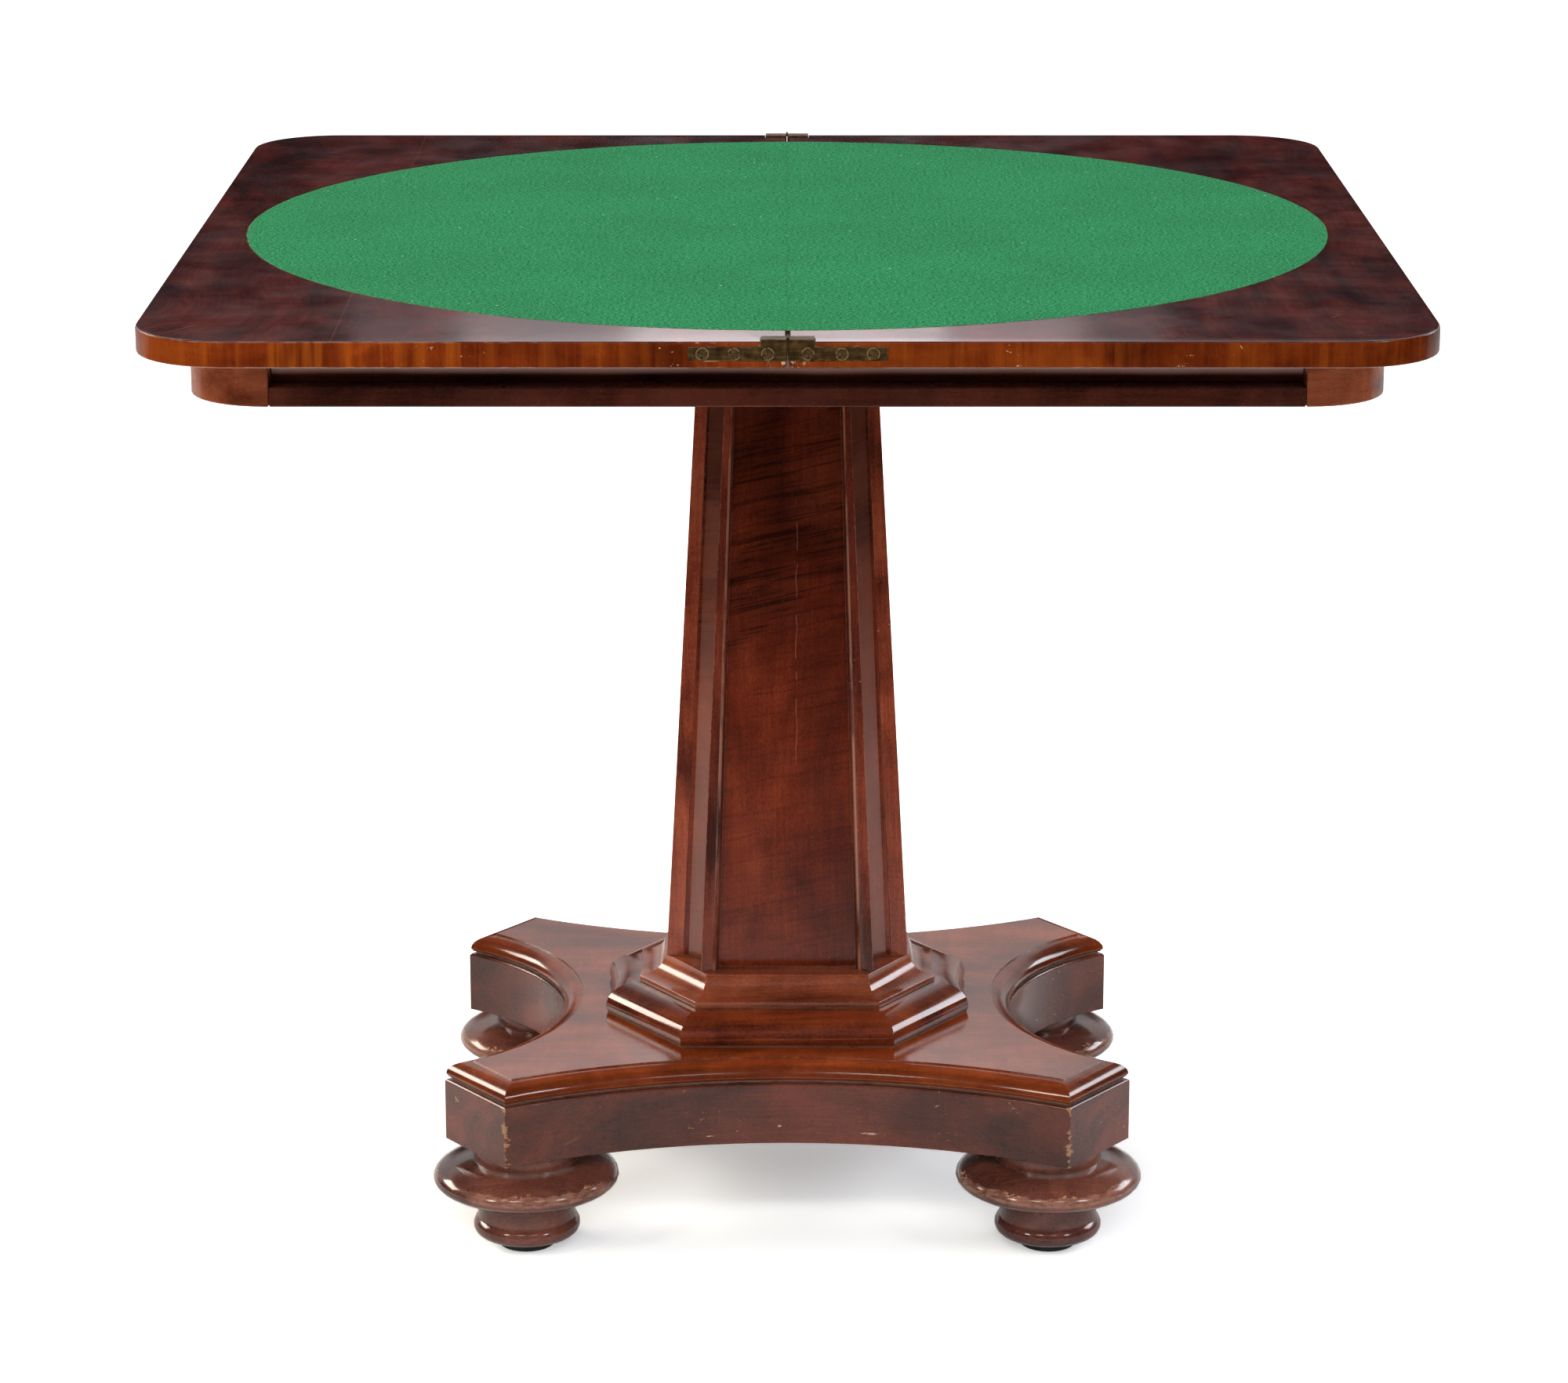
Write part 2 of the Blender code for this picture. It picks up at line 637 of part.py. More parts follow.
def floor_outline(side):
    """A board that reaches the end wall between the corner blocks."""
    inner = BEARER_WIDTH / 2 + GAP
    points = [
        (inner, -INSIDE_Y),
        (BLOCK_INNER_X, -INSIDE_Y),
        (BLOCK_INNER_X, -BLOCK_INNER_Y),
        (INSIDE_X, -BLOCK_INNER_Y),
        (INSIDE_X, BLOCK_INNER_Y),
        (BLOCK_INNER_X, BLOCK_INNER_Y),
        (BLOCK_INNER_X, INSIDE_Y),
        (inner, INSIDE_Y),
    ]
    return mirrored(points, side, 1)


def add_carcase():
    """Floors, the bearer that the column carries, and the end wall of the card well."""
    for side_name, side in SIDES.items():
        outline = floor_outline(side)
        extruded(f"well_floor_{side_name}", outline, BOARD_Z, BOARD_Z + FLOOR_THICKNESS, INNER_WOOD)
    half_y = FRIEZE_HALF_DEPTH - RAIL_DEPTH - GAP
    bearer_top = FRIEZE_Z + BEARER_THICKNESS
    low = (-BEARER_WIDTH / 2, -half_y, FRIEZE_Z)
    high = (BEARER_WIDTH / 2, half_y, bearer_top)
    box("column_bearer", low, high, INNER_WOOD)
    low = (PARTITION_RIGHT - PARTITION_THICKNESS, -INSIDE_Y, bearer_top + GAP)
    high = (PARTITION_RIGHT, INSIDE_Y, FRIEZE_TOP_Z - PARTITION_TOP_CLEARANCE)
    box("well_partition", low, high, INNER_WOOD)


# The column

def shaft_outline(half_width, half_depth, front_arm, side_arm, cant, projection):
    """A cross with canted inner corners, its four faces set back behind the strips."""
    panel_x = half_width - projection
    panel_y = half_depth - projection
    quarter = [
        (panel_x, side_arm),
        (front_arm + cant, side_arm),
        (front_arm, side_arm + cant),
        (front_arm, panel_y),
    ]
    outline = []
    for side, end in ((1, 1), (-1, 1), (-1, -1), (1, -1)):
        outline += mirrored(quarter, side, end)
    return outline


def strip_outline(outer, front, width, projection):
    """Section of a strip on the front face: a crisp outer arris and a rounded inner edge."""
    base = front - projection + GAP
    round_across = width * STRIP_ROUND_ACROSS_SHARE
    round_deep = projection * STRIP_ROUND_DEEP_SHARE
    centre = (outer - width + round_across, front - round_deep)
    points = [Vector((outer, base)), Vector((outer, front))]
    for x, y in elliptic(centre, round_across, round_deep, 90, 180, STRIP_STEPS):
        points.append(Vector((x, y)))
    points.append(Vector((outer - width, base)))
    return points


def add_column():
    top = COLUMN_Z + COLUMN_LENGTH
    low = shaft_outline(
        COLUMN_HALF_WIDTH_LOW,
        COLUMN_HALF_DEPTH_LOW,
        FRONT_ARM_HALF_LOW,
        SIDE_ARM_HALF_LOW,
        CANT_LOW,
        STRIP_PROJECTION_LOW,
    )
    high = shaft_outline(
        COLUMN_HALF_WIDTH_HIGH,
        COLUMN_HALF_DEPTH_HIGH,
        FRONT_ARM_HALF_HIGH,
        SIDE_ARM_HALF_HIGH,
        CANT_HIGH,
        STRIP_PROJECTION_HIGH,
    )
    lofted("column_shaft", [(low, COLUMN_Z), (high, top)], COLUMN_WOOD)
    front_low = strip_outline(
        FRONT_ARM_HALF_LOW, COLUMN_HALF_DEPTH_LOW, STRIP_WIDTH_LOW, STRIP_PROJECTION_LOW
    )
    front_high = strip_outline(
        FRONT_ARM_HALF_HIGH, COLUMN_HALF_DEPTH_HIGH, STRIP_WIDTH_HIGH, STRIP_PROJECTION_HIGH
    )
    side_low = strip_outline(
        SIDE_ARM_HALF_LOW, COLUMN_HALF_WIDTH_LOW, STRIP_WIDTH_LOW, STRIP_PROJECTION_LOW
    )
    side_high = strip_outline(
        SIDE_ARM_HALF_HIGH, COLUMN_HALF_WIDTH_HIGH, STRIP_WIDTH_HIGH, STRIP_PROJECTION_HIGH
    )
    for end_name, end in ENDS.items():
        for side_name, side in SIDES.items():
            rings = [
                (mirrored(front_low, side, end), COLUMN_Z),
                (mirrored(front_high, side, end), top),
            ]
            lofted(f"column_strip_{end_name}_{side_name}", rings, COLUMN_WOOD)
            rings = [
                (mirrored([(y, x) for x, y in reversed(side_low)], side, end), COLUMN_Z),
                (mirrored([(y, x) for x, y in reversed(side_high)], side, end), top),
            ]
            lofted(f"column_strip_{side_name}_{end_name}", rings, COLUMN_WOOD)


# The socle

def socle_outline(grow):
    """An octagon whose short sides are slightly hollow."""
    half_x = COLUMN_HALF_WIDTH_LOW + SOCLE_MARGIN_X + grow
    half_y = COLUMN_HALF_DEPTH_LOW + SOCLE_MARGIN_Y + grow
    front = SOCLE_FRONT_HALF + grow * SOCLE_FRONT_SPREAD_SHARE
    side = SOCLE_SIDE_HALF + grow * SOCLE_SIDE_SPREAD_SHARE
    hollow = grow * SOCLE_SIDE_HOLLOW_SHARE
    shares = [2 * step / SOCLE_SIDE_STEPS - 1 for step in range(SOCLE_SIDE_STEPS + 1)]
    right = [Vector((half_x - hollow * (1 - share**2), side * share)) for share in shares]
    left = [Vector((-point.x, point.y)) for point in reversed(right)]
    near = [Vector((-front, -half_y)), Vector((front, -half_y))]
    far = [Vector((front, half_y)), Vector((-front, half_y))]
    return near + right + far + left


def add_socle():
    """A cove on a fillet, over a wider ovolo."""
    ovolo_base = COVE_PROJECTION + OVOLO_LEDGE
    rise = OVOLO_HEIGHT - OVOLO_NOSE_HEIGHT
    undercut = -math.degrees(math.asin(OVOLO_NOSE_HEIGHT / rise))
    centre = (ovolo_base, OVOLO_NOSE_HEIGHT)
    ovolo = elliptic(centre, OVOLO_PROJECTION, rise, undercut, 90, MOULD_STEPS + 2)
    rings = [(socle_outline(grow), OVOLO_Z + height) for grow, height in ovolo]
    lofted("socle_ovolo", rings, BASE_WOOD)
    lip = COVE_HEIGHT - COVE_LIP_HEIGHT
    sweep = lip - COVE_FILLET_HEIGHT
    cove = [(COVE_PROJECTION, 0)]
    centre = (COVE_PROJECTION, lip)
    cove += elliptic(centre, COVE_LIP_SETBACK - COVE_PROJECTION, -sweep, 90, 0, MOULD_STEPS)
    cove.append((COVE_LIP_SETBACK, COVE_HEIGHT))
    rings = [(socle_outline(grow), COVE_Z + height) for grow, height in cove]
    lofted("socle_cove", rings, BASE_WOOD)


# The platform

def platform_outline():
    """Four hollow sides between four canted ends."""
    wide = PLATFORM_HALF_WIDTH
    deep = PLATFORM_HALF_DEPTH
    front = PLATFORM_FRONT_HALF
    side = PLATFORM_SIDE_HALF
    outline = hollow((-front, -deep), (front, -deep), PLATFORM_FRONT_HOLLOW, FRONT_ARC_STEPS)
    outline.append(Vector((front, -deep)))
    outline += hollow((wide, -side), (wide, side), PLATFORM_SIDE_HOLLOW, SIDE_ARC_STEPS)
    outline.append(Vector((wide, side)))
    outline += hollow((front, deep), (-front, deep), PLATFORM_FRONT_HOLLOW, FRONT_ARC_STEPS)
    outline.append(Vector((-front, deep)))
    outline += hollow((-wide, side), (-wide, -side), PLATFORM_SIDE_HOLLOW, SIDE_ARC_STEPS)
    outline.append(Vector((-wide, -side)))
    return outline


def add_platform():
    outline = platform_outline()
    plinth_top = PLINTH_Z + PLINTH_HEIGHT
    rings = [
        (outline, PLINTH_Z),
        (outline, plinth_top - PLINTH_ARRIS),
        (grown(outline, -PLINTH_ARRIS), plinth_top),
    ]
    lofted("platform_plinth", rings, BASE_WOOD)
    edge_base = SLAB_NOSE_SETBACK + SLAB_EDGE_WIDTH
    edge_rise = SLAB_HEIGHT - SLAB_STEP - SLAB_NOSE_HEIGHT
    profile = [
        (SLAB_QUIRK_SETBACK, 0),
        (SLAB_QUIRK_SETBACK, SLAB_QUIRK_HEIGHT),
        ((SLAB_QUIRK_SETBACK + SLAB_NOSE_SETBACK) / 2, SLAB_QUIRK_HEIGHT),
    ]
    edge = elliptic((0, SLAB_NOSE_HEIGHT), SLAB_EDGE_WIDTH, edge_rise, 0, 90, MOULD_STEPS)
    profile += [(edge_base - reach, height) for reach, height in edge]
    profile.append((edge_base, SLAB_HEIGHT))
    rings = [(grown(outline, -setback), SLAB_Z + height) for setback, height in profile]
    lofted("platform_top", rings, BASE_WOOD)


# Feet

def foot_profile():
    """A collar, a flattened bun, a hollow neck and a ring, from the top down."""
    bun_core = BUN_RADIUS - BUN_ROUND
    bun_middle = FOOT_HEIGHT - BUN_MIDDLE_DROP
    ring_middle = FOOT_BASE_DROP + RING_ROUND
    profile = [(0, FOOT_HEIGHT), (COLLAR_RADIUS, FOOT_HEIGHT), (COLLAR_RADIUS, bun_middle + BUN_RISE)]
    profile += elliptic((bun_core, bun_middle), BUN_ROUND, BUN_RISE, 90, 0, BUN_STEPS)[1:]
    lower = elliptic((bun_core, bun_middle), BUN_ROUND, BUN_FALL, 0, -90, BUN_STEPS)
    profile += [point for point in lower[1:] if point[0] > BUN_UNDERCUT_RADIUS]
    profile.append((BUN_UNDERCUT_RADIUS, bun_middle - BUN_FALL))
    profile.append((NECK_TOP_RADIUS, FOOT_HEIGHT - NECK_TOP_DROP))
    profile.append((NECK_RADIUS, FOOT_HEIGHT - NECK_WAIST_DROP))
    profile.append((RING_TOP_RADIUS, ring_middle + RING_ROUND))
    ring_core = RING_RADIUS - RING_ROUND
    profile += elliptic((ring_core, ring_middle), RING_ROUND, RING_ROUND, 60, -60, MOULD_STEPS - 1)
    profile.append((FOOT_BASE_RADIUS, 0))
    profile.append((0, 0))
    return profile


def add_feet():
    for end_name, end in ENDS.items():
        for side_name, side in SIDES.items():
            place = (side * FOOT_X, end * FOOT_Y, FOOT_Z)
            turned(f"foot_{end_name}_{side_name}", foot_profile(), place, BASE_WOOD)
            name = f"glide_{end_name}_{side_name}"
            mesh = cylinder_mesh(name, GLIDE_RADIUS, 0, GLIDE_HEIGHT, BORE_STEPS)
            glide = new_object(name, mesh, GLIDE_BLACK)
            glide.location = (side * FOOT_X, end * FOOT_Y, 0)
            bevel(glide, GLIDE_ARRIS, 1)


leaf_fixed = add_leaf("leaf_fixed", 1)
add_leaf("leaf_folding", -1)
add_baize("baize_fixed", 1)
add_baize("baize_folding", -1)
for hinge_end_name, hinge_end in ENDS.items():
    add_hinge_plate(f"hinge_{hinge_end_name}_fixed", 1, hinge_end)
    add_hinge_plate(f"hinge_{hinge_end_name}_folding", -1, hinge_end)
    add_hinge_pin(f"hinge_pin_{hinge_end_name}", hinge_end)
add_pivot(leaf_fixed)
add_frieze()
add_carcase()
add_column()
add_socle()
add_platform()
add_feet()
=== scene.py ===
"""Looks of the fold-over card table: woods, baize, brass, screws, light and camera.

Metres, +Z up, front at -Y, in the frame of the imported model.
"""

import math

import bmesh
import bpy
import numpy as np
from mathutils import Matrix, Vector, noise


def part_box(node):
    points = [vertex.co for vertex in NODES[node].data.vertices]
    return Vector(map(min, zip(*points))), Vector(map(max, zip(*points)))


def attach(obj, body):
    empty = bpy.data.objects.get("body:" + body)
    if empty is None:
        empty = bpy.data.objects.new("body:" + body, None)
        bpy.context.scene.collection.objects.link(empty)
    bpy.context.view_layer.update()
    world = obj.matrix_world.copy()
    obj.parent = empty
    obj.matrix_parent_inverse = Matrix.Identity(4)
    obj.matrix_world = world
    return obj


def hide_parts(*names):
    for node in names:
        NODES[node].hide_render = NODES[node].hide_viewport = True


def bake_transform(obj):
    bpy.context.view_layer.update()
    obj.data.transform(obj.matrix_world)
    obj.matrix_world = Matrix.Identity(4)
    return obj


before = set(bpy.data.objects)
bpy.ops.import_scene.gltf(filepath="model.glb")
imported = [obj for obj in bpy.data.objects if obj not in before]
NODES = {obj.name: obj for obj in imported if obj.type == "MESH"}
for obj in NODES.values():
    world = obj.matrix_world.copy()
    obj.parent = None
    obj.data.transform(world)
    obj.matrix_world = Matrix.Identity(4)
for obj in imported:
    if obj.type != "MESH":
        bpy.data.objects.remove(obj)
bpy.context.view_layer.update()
MM = 0.001

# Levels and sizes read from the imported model
LEAF_LOW, LEAF_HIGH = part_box("leaf_fixed")
LEAF_TOP = LEAF_HIGH[2]
LEAF_BOTTOM = LEAF_LOW[2]
BAIZE_LOW, BAIZE_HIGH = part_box("baize_fixed")
BAIZE_RADIUS = BAIZE_HIGH[0]
STRAP_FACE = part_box("hinge_front_fixed")[0][1]
COLUMN_LOW, COLUMN_HIGH = (corner[2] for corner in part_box("column_shaft"))
BUN_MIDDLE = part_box("foot_front_left")[1][2] - 25.1 * MM
PLINTH_CORNER = (0.211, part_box("platform_plinth")[0][1])
BOARD_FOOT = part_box("frieze_board_front")[0][2]

# Marks seen in the photograph: flakes on the plinth by place across, level and width, and other places
FLAKES = ((-0.0585, 0.0882, 3.2 * MM), (0.0625, 0.0905, 6.5 * MM), (-0.006, 0.0950, 1.6 * MM))
LEFT_SEAM = -0.304
NO_SEAM = 0.9
CRACK_PLACE = 7 * MM
CRACK_LEVEL = 0.45
WHITE = (1.0, 1.0, 1.0, 1.0)


def linear(red, green, blue):
    """A colour given in screen values from 0 to 255, as the shaders want it."""
    values = []
    for value in (red, green, blue):
        value /= 255
        values.append(value / 12.92 if value <= 0.04045 else ((value + 0.055) / 1.055) ** 2.4)
    return (*values, 1.0)


class Graph:
    """A material's node tree, built with short calls that return sockets."""

    def __init__(self, name):
        self.material = bpy.data.materials.new(name)
        self.material.use_nodes = True
        self.tree = self.material.node_tree
        self.shader = self.tree.nodes["Principled BSDF"]
        self.coords = self.add("ShaderNodeTexCoord")
        self.place = self.coords.outputs["Object"]
        self.normal = self.coords.outputs["Normal"]

    def add(self, kind, inputs=(), **settings):
        node = self.tree.nodes.new(kind)
        for key, value in settings.items():
            setattr(node, key, value)
        pairs = inputs.items() if isinstance(inputs, dict) else enumerate(inputs)
        for key, value in pairs:
            if value is None:
                continue
            if isinstance(value, bpy.types.NodeSocket):
                self.tree.links.new(value, node.inputs[key])
            else:
                node.inputs[key].default_value = value
        return node

    def math(self, operation, first, second=None, clamp=False):
        settings = {"operation": operation, "use_clamp": clamp}
        return self.add("ShaderNodeMath", (first, second), **settings).outputs[0]

    def plus(self, first, second, clamp=False):
        return self.math("ADD", first, second, clamp)

    def minus(self, first, second, clamp=False):
        return self.math("SUBTRACT", first, second, clamp)

    def times(self, first, second, clamp=False):
        return self.math("MULTIPLY", first, second, clamp)

    def size(self, value):
        return self.math("ABSOLUTE", value)

    def vector(self, operation, first, second=None):
        return self.add("ShaderNodeVectorMath", (first, second), operation=operation).outputs[0]

    def scaled(self, vector, scale):
        return self.vector("MULTIPLY", vector, scale)

    def mapped(self, vector, location=(0, 0, 0), rotation=(0, 0, 0), scale=(1, 1, 1)):
        inputs = {"Vector": vector, "Location": location, "Rotation": rotation, "Scale": scale}
        return self.add("ShaderNodeMapping", inputs).outputs[0]

    def split(self, vector):
        return self.add("ShaderNodeSeparateXYZ", (vector,)).outputs

    def join(self, x, y, z):
        return self.add("ShaderNodeCombineXYZ", (x, y, z)).outputs[0]

    def noise(self, vector, scale=1.0, detail=2.0, roughness=0.5, distortion=0.0, output=0):
        inputs = {
            "Vector": vector,
            "Scale": scale,
            "Detail": detail,
            "Roughness": roughness,
            "Distortion": distortion,
        }
        return self.add("ShaderNodeTexNoise", inputs).outputs[output]

    def ramp(self, value, low, high, to_low=0.0, to_high=1.0):
        """A smooth step of a value from low to high."""
        inputs = {"Value": value, "From Min": low, "From Max": high, "To Min": to_low, "To Max": to_high}
        return self.add("ShaderNodeMapRange", inputs, interpolation_type="SMOOTHSTEP").outputs[0]

    def tones(self, value, stops):
        node = self.add("ShaderNodeValToRGB", (value,))
        elements = node.color_ramp.elements
        while len(elements) < len(stops):
            elements.new(0.5)
        for element, (position, colour) in zip(elements, stops):
            element.position = position
            element.color = colour
        return node.outputs[0]

    def mix(self, factor, first, second, blend="MIX"):
        inputs = {0: factor, 6: first, 7: second}
        return self.add("ShaderNodeMix", inputs, data_type="RGBA", blend_type=blend).outputs[2]

    def shade(self, colour, factor):
        """Multiplies a colour by a number."""
        return self.mix(1.0, colour, self.join(factor, factor, factor), "MULTIPLY")

    def edges(self, radius):
        """One on the arrises and zero on the faces."""
        rounded = self.add("ShaderNodeBevel", {"Radius": radius}, samples=6).outputs[0]
        true = self.add("ShaderNodeNewGeometry").outputs["Normal"]
        dot = self.add("ShaderNodeVectorMath", (rounded, true), operation="DOT_PRODUCT").outputs["Value"]
        return self.ramp(dot, 0.995, 0.90)

    def crevices(self, distance):
        """One deep in the corners between pieces and zero on open faces."""
        inputs = {"Distance": distance}
        node = self.add("ShaderNodeAmbientOcclusion", inputs, samples=6)
        return self.ramp(node.outputs["AO"], 0.62, 0.30)

    def bump(self, height, distance, strength=1.0, normal=None):
        inputs = {"Height": height, "Distance": distance, "Strength": strength, "Normal": normal}
        return self.add("ShaderNodeBump", inputs).outputs[0]

    def finish(self, **inputs):
        for key, value in inputs.items():
            socket = self.shader.inputs[key.replace("_", " ")]
            if isinstance(value, bpy.types.NodeSocket):
                self.tree.links.new(value, socket)
            else:
                socket.default_value = value
        return self.material


# Turns that lay the grain along the shader's X
ALONG_X = (0, 0, 0)
ALONG_Y = (0, 0, math.radians(-90))
ALONG_Z = (0, math.radians(90), 0)

STRIP_TONES = (linear(54, 20, 13), linear(98, 41, 27), linear(130, 60, 40))
OUTER_STRIP_TONES = (linear(80, 32, 20), linear(138, 63, 41), linear(162, 84, 56))
COLUMN_TONES = (linear(78, 27, 14), linear(104, 38, 19), linear(130, 54, 28))
SLAB_TONES = (linear(90, 36, 14), linear(130, 56, 25), linear(158, 74, 36))
COVE_TONES = (linear(78, 34, 20), linear(126, 62, 40), linear(152, 80, 52))
MOULD_TONES = (linear(66, 22, 10), linear(110, 46, 22), linear(136, 62, 31))
FOOT_TONES = (linear(54, 26, 21), linear(97, 55, 46), linear(128, 76, 60))
PLINTH_TONES = (linear(48, 18, 11), linear(79, 33, 21), linear(108, 48, 32))
DARK_TONES = (linear(44, 19, 13), linear(84, 39, 27), linear(106, 52, 37))
TOP_TONES = (linear(40, 13, 15), linear(72, 27, 25), linear(98, 42, 37))
EDGE_TONES = (linear(84, 30, 8), linear(114, 43, 11), linear(140, 62, 18))
BLOCK_TONES = (linear(102, 47, 27), linear(145, 74, 47), linear(168, 96, 63))
PINE_TONES = (linear(128, 92, 58), linear(168, 130, 88), linear(190, 156, 112))
WORN = linear(176, 118, 70)
DUST = linear(176, 152, 132)


def grain(graph, turn, seed, warp=0.02):
    """The place in the wood, with the grain along X and a slight natural bend."""
    place = graph.mapped(graph.place, (seed * 1.37, seed * 0.71, seed * 2.13), turn)
    bend = graph.noise(place, 3.5, 1.0, output=1)
    shift = graph.vector("SUBTRACT", bend, (0.5, 0.5, 0.5))
    return graph.vector("ADD", place, graph.scaled(shift, (warp, warp, warp)))


def wood_colour(graph, place, tones, cloud=0.52, band=0.14, fibre=0.14, figure=0.08, shares=(7, 13)):
    """Colour and height of a veneer or a solid, from clouds, growth bands, fibres, flecks and ripple."""
    along, across = shares
    clouds = graph.noise(graph.scaled(place, (along, across, across)), 1.0, 3.0, 0.55, 0.7)
    bands = graph.noise(graph.scaled(place, (1.6, 34, 34)), 1.0, 3.0, 0.5, 0.4)
    fibres = graph.noise(graph.scaled(place, (14, 420, 420)), 1.0, 3.0, 0.6, 0.2)
    flecks = graph.noise(graph.scaled(place, (420, 900, 900)), 1.0, 3.0, 0.7)
    ripple = graph.noise(graph.scaled(place, (95, 17, 17)), 1.0, 2.0, 0.5, 0.6)
    pores = graph.ramp(graph.noise(graph.scaled(place, (150, 1500, 1500)), 1.0, 1.0), 0.62, 0.74)
    tone = graph.plus(graph.times(clouds, cloud), graph.times(bands, band))
    tone = graph.plus(tone, graph.times(fibres, fibre))
    tone = graph.plus(tone, graph.times(flecks, 1.0 - cloud - band - fibre))
    colour = graph.tones(tone, list(zip((0.40, 0.50, 0.60), tones)))
    swing = graph.ramp(ripple, 0.30, 0.70, 1 - figure, 1 + figure)
    colour = graph.shade(colour, swing)
    colour = graph.mix(graph.times(pores, 0.45), colour, tones[0])
    height = graph.plus(graph.times(fibres, 0.5), graph.times(pores, -0.6))
    return colour, height


def spots(graph, place, scale, low, high, seed=0.0):
    """Sparse small marks, one where a mark lies."""
    moved = graph.vector("ADD", place, (seed, seed * 1.7, seed * 0.6))
    wobble = graph.noise(moved, scale * 2.3, 2.0, output=1)
    shift = graph.scaled(graph.vector("SUBTRACT", wobble, (0.5, 0.5, 0.5)), (0.5 / scale,) * 3)
    inputs = {"Vector": graph.vector("ADD", moved, shift), "Scale": scale}
    node = graph.add("ShaderNodeTexVoronoi", inputs)
    chosen = graph.ramp(graph.split(node.outputs["Color"])[0], low, high)
    near = graph.ramp(node.outputs["Distance"], 0.16, 0.08)
    return graph.times(near, chosen)


def chips(graph, seed, share=0.5):
    """Ragged specks in loose clusters, where the finish is knocked off."""
    place = graph.vector("ADD", graph.place, (seed, seed * 0.7, seed * 1.9))
    specks = graph.ramp(graph.noise(graph.scaled(place, (210, 210, 330)), 1.0, 3.0, 0.62), 0.66, 0.70)
    clusters = graph.ramp(graph.noise(place, 19.0, 2.0), 0.66 - 0.12 * share, 0.70 - 0.12 * share)
    return graph.times(specks, clusters)


def scratches(graph, place, seed, amount=0.5):
    """Fine pale lines that run a few centimetres."""
    turned = graph.mapped(place, (seed, seed * 0.3, seed), (0.3, 0.5, 0.9 + seed))
    lines = graph.noise(graph.scaled(turned, (9, 420, 160)), 1.0, 1.0, 0.4)
    patches = graph.ramp(graph.noise(place, 17 + seed, 1.0), 0.60, 0.68)
    return graph.times(graph.times(graph.ramp(lines, 0.735, 0.76), patches), amount)


def polish(graph, colour, height, roughness, dust_and_shade=0.0, wear=0.0, deep=0.62):
    """Polished surface: worn arrises, painted shade and dust in the corners, smudges and a slightly wavy
    gloss.
    """
    smudge = graph.noise(graph.place, 22.0, 3.0, 0.6)
    rough = graph.ramp(smudge, 0.25, 0.75, roughness * 0.78, roughness * 1.25)
    if wear:
        patch = graph.noise(graph.place, 90.0, 3.0, 0.65)
        patch = graph.ramp(patch, 0.62 - 0.30 * wear, 0.72 - 0.14 * wear)
        rubbed = graph.times(graph.edges(1.2 * MM), patch)
        colour = graph.mix(graph.times(rubbed, 0.6), colour, WORN)
        rough = graph.plus(rough, graph.times(rubbed, 0.2))
    if dust_and_shade:
        # Painted shade: colour darkened deep in the corners between pieces, by the depth given
        colour = graph.shade(colour, graph.ramp(graph.crevices(14 * MM), 0.0, 1.0, 1.0, deep))
        settled = graph.ramp(graph.noise(graph.place, 70.0, 2.0), 0.25, 0.55, 0.35, 1.0)
        dust = graph.times(graph.crevices(2.5 * MM), settled)
        colour = graph.mix(graph.times(dust, dust_and_shade), colour, DUST)
        rough = graph.plus(rough, graph.times(dust, 0.3), True)
    wave = graph.noise(graph.place, 38.0, 1.0)
    normal = graph.bump(wave, 0.20 * MM, 0.3)
    normal = graph.bump(height, 0.02 * MM, 0.5, normal)
    return graph.finish(Base_Color=colour, Roughness=rough, Normal=normal, IOR=1.5)


def dress(name, material):
    NODES[name].material_slots[0].material = material


SMOOTH_ANGLE = math.radians(34)
MERGE_DISTANCE = 0.02 * MM
LEVEL_RISE = 0.05 * MM


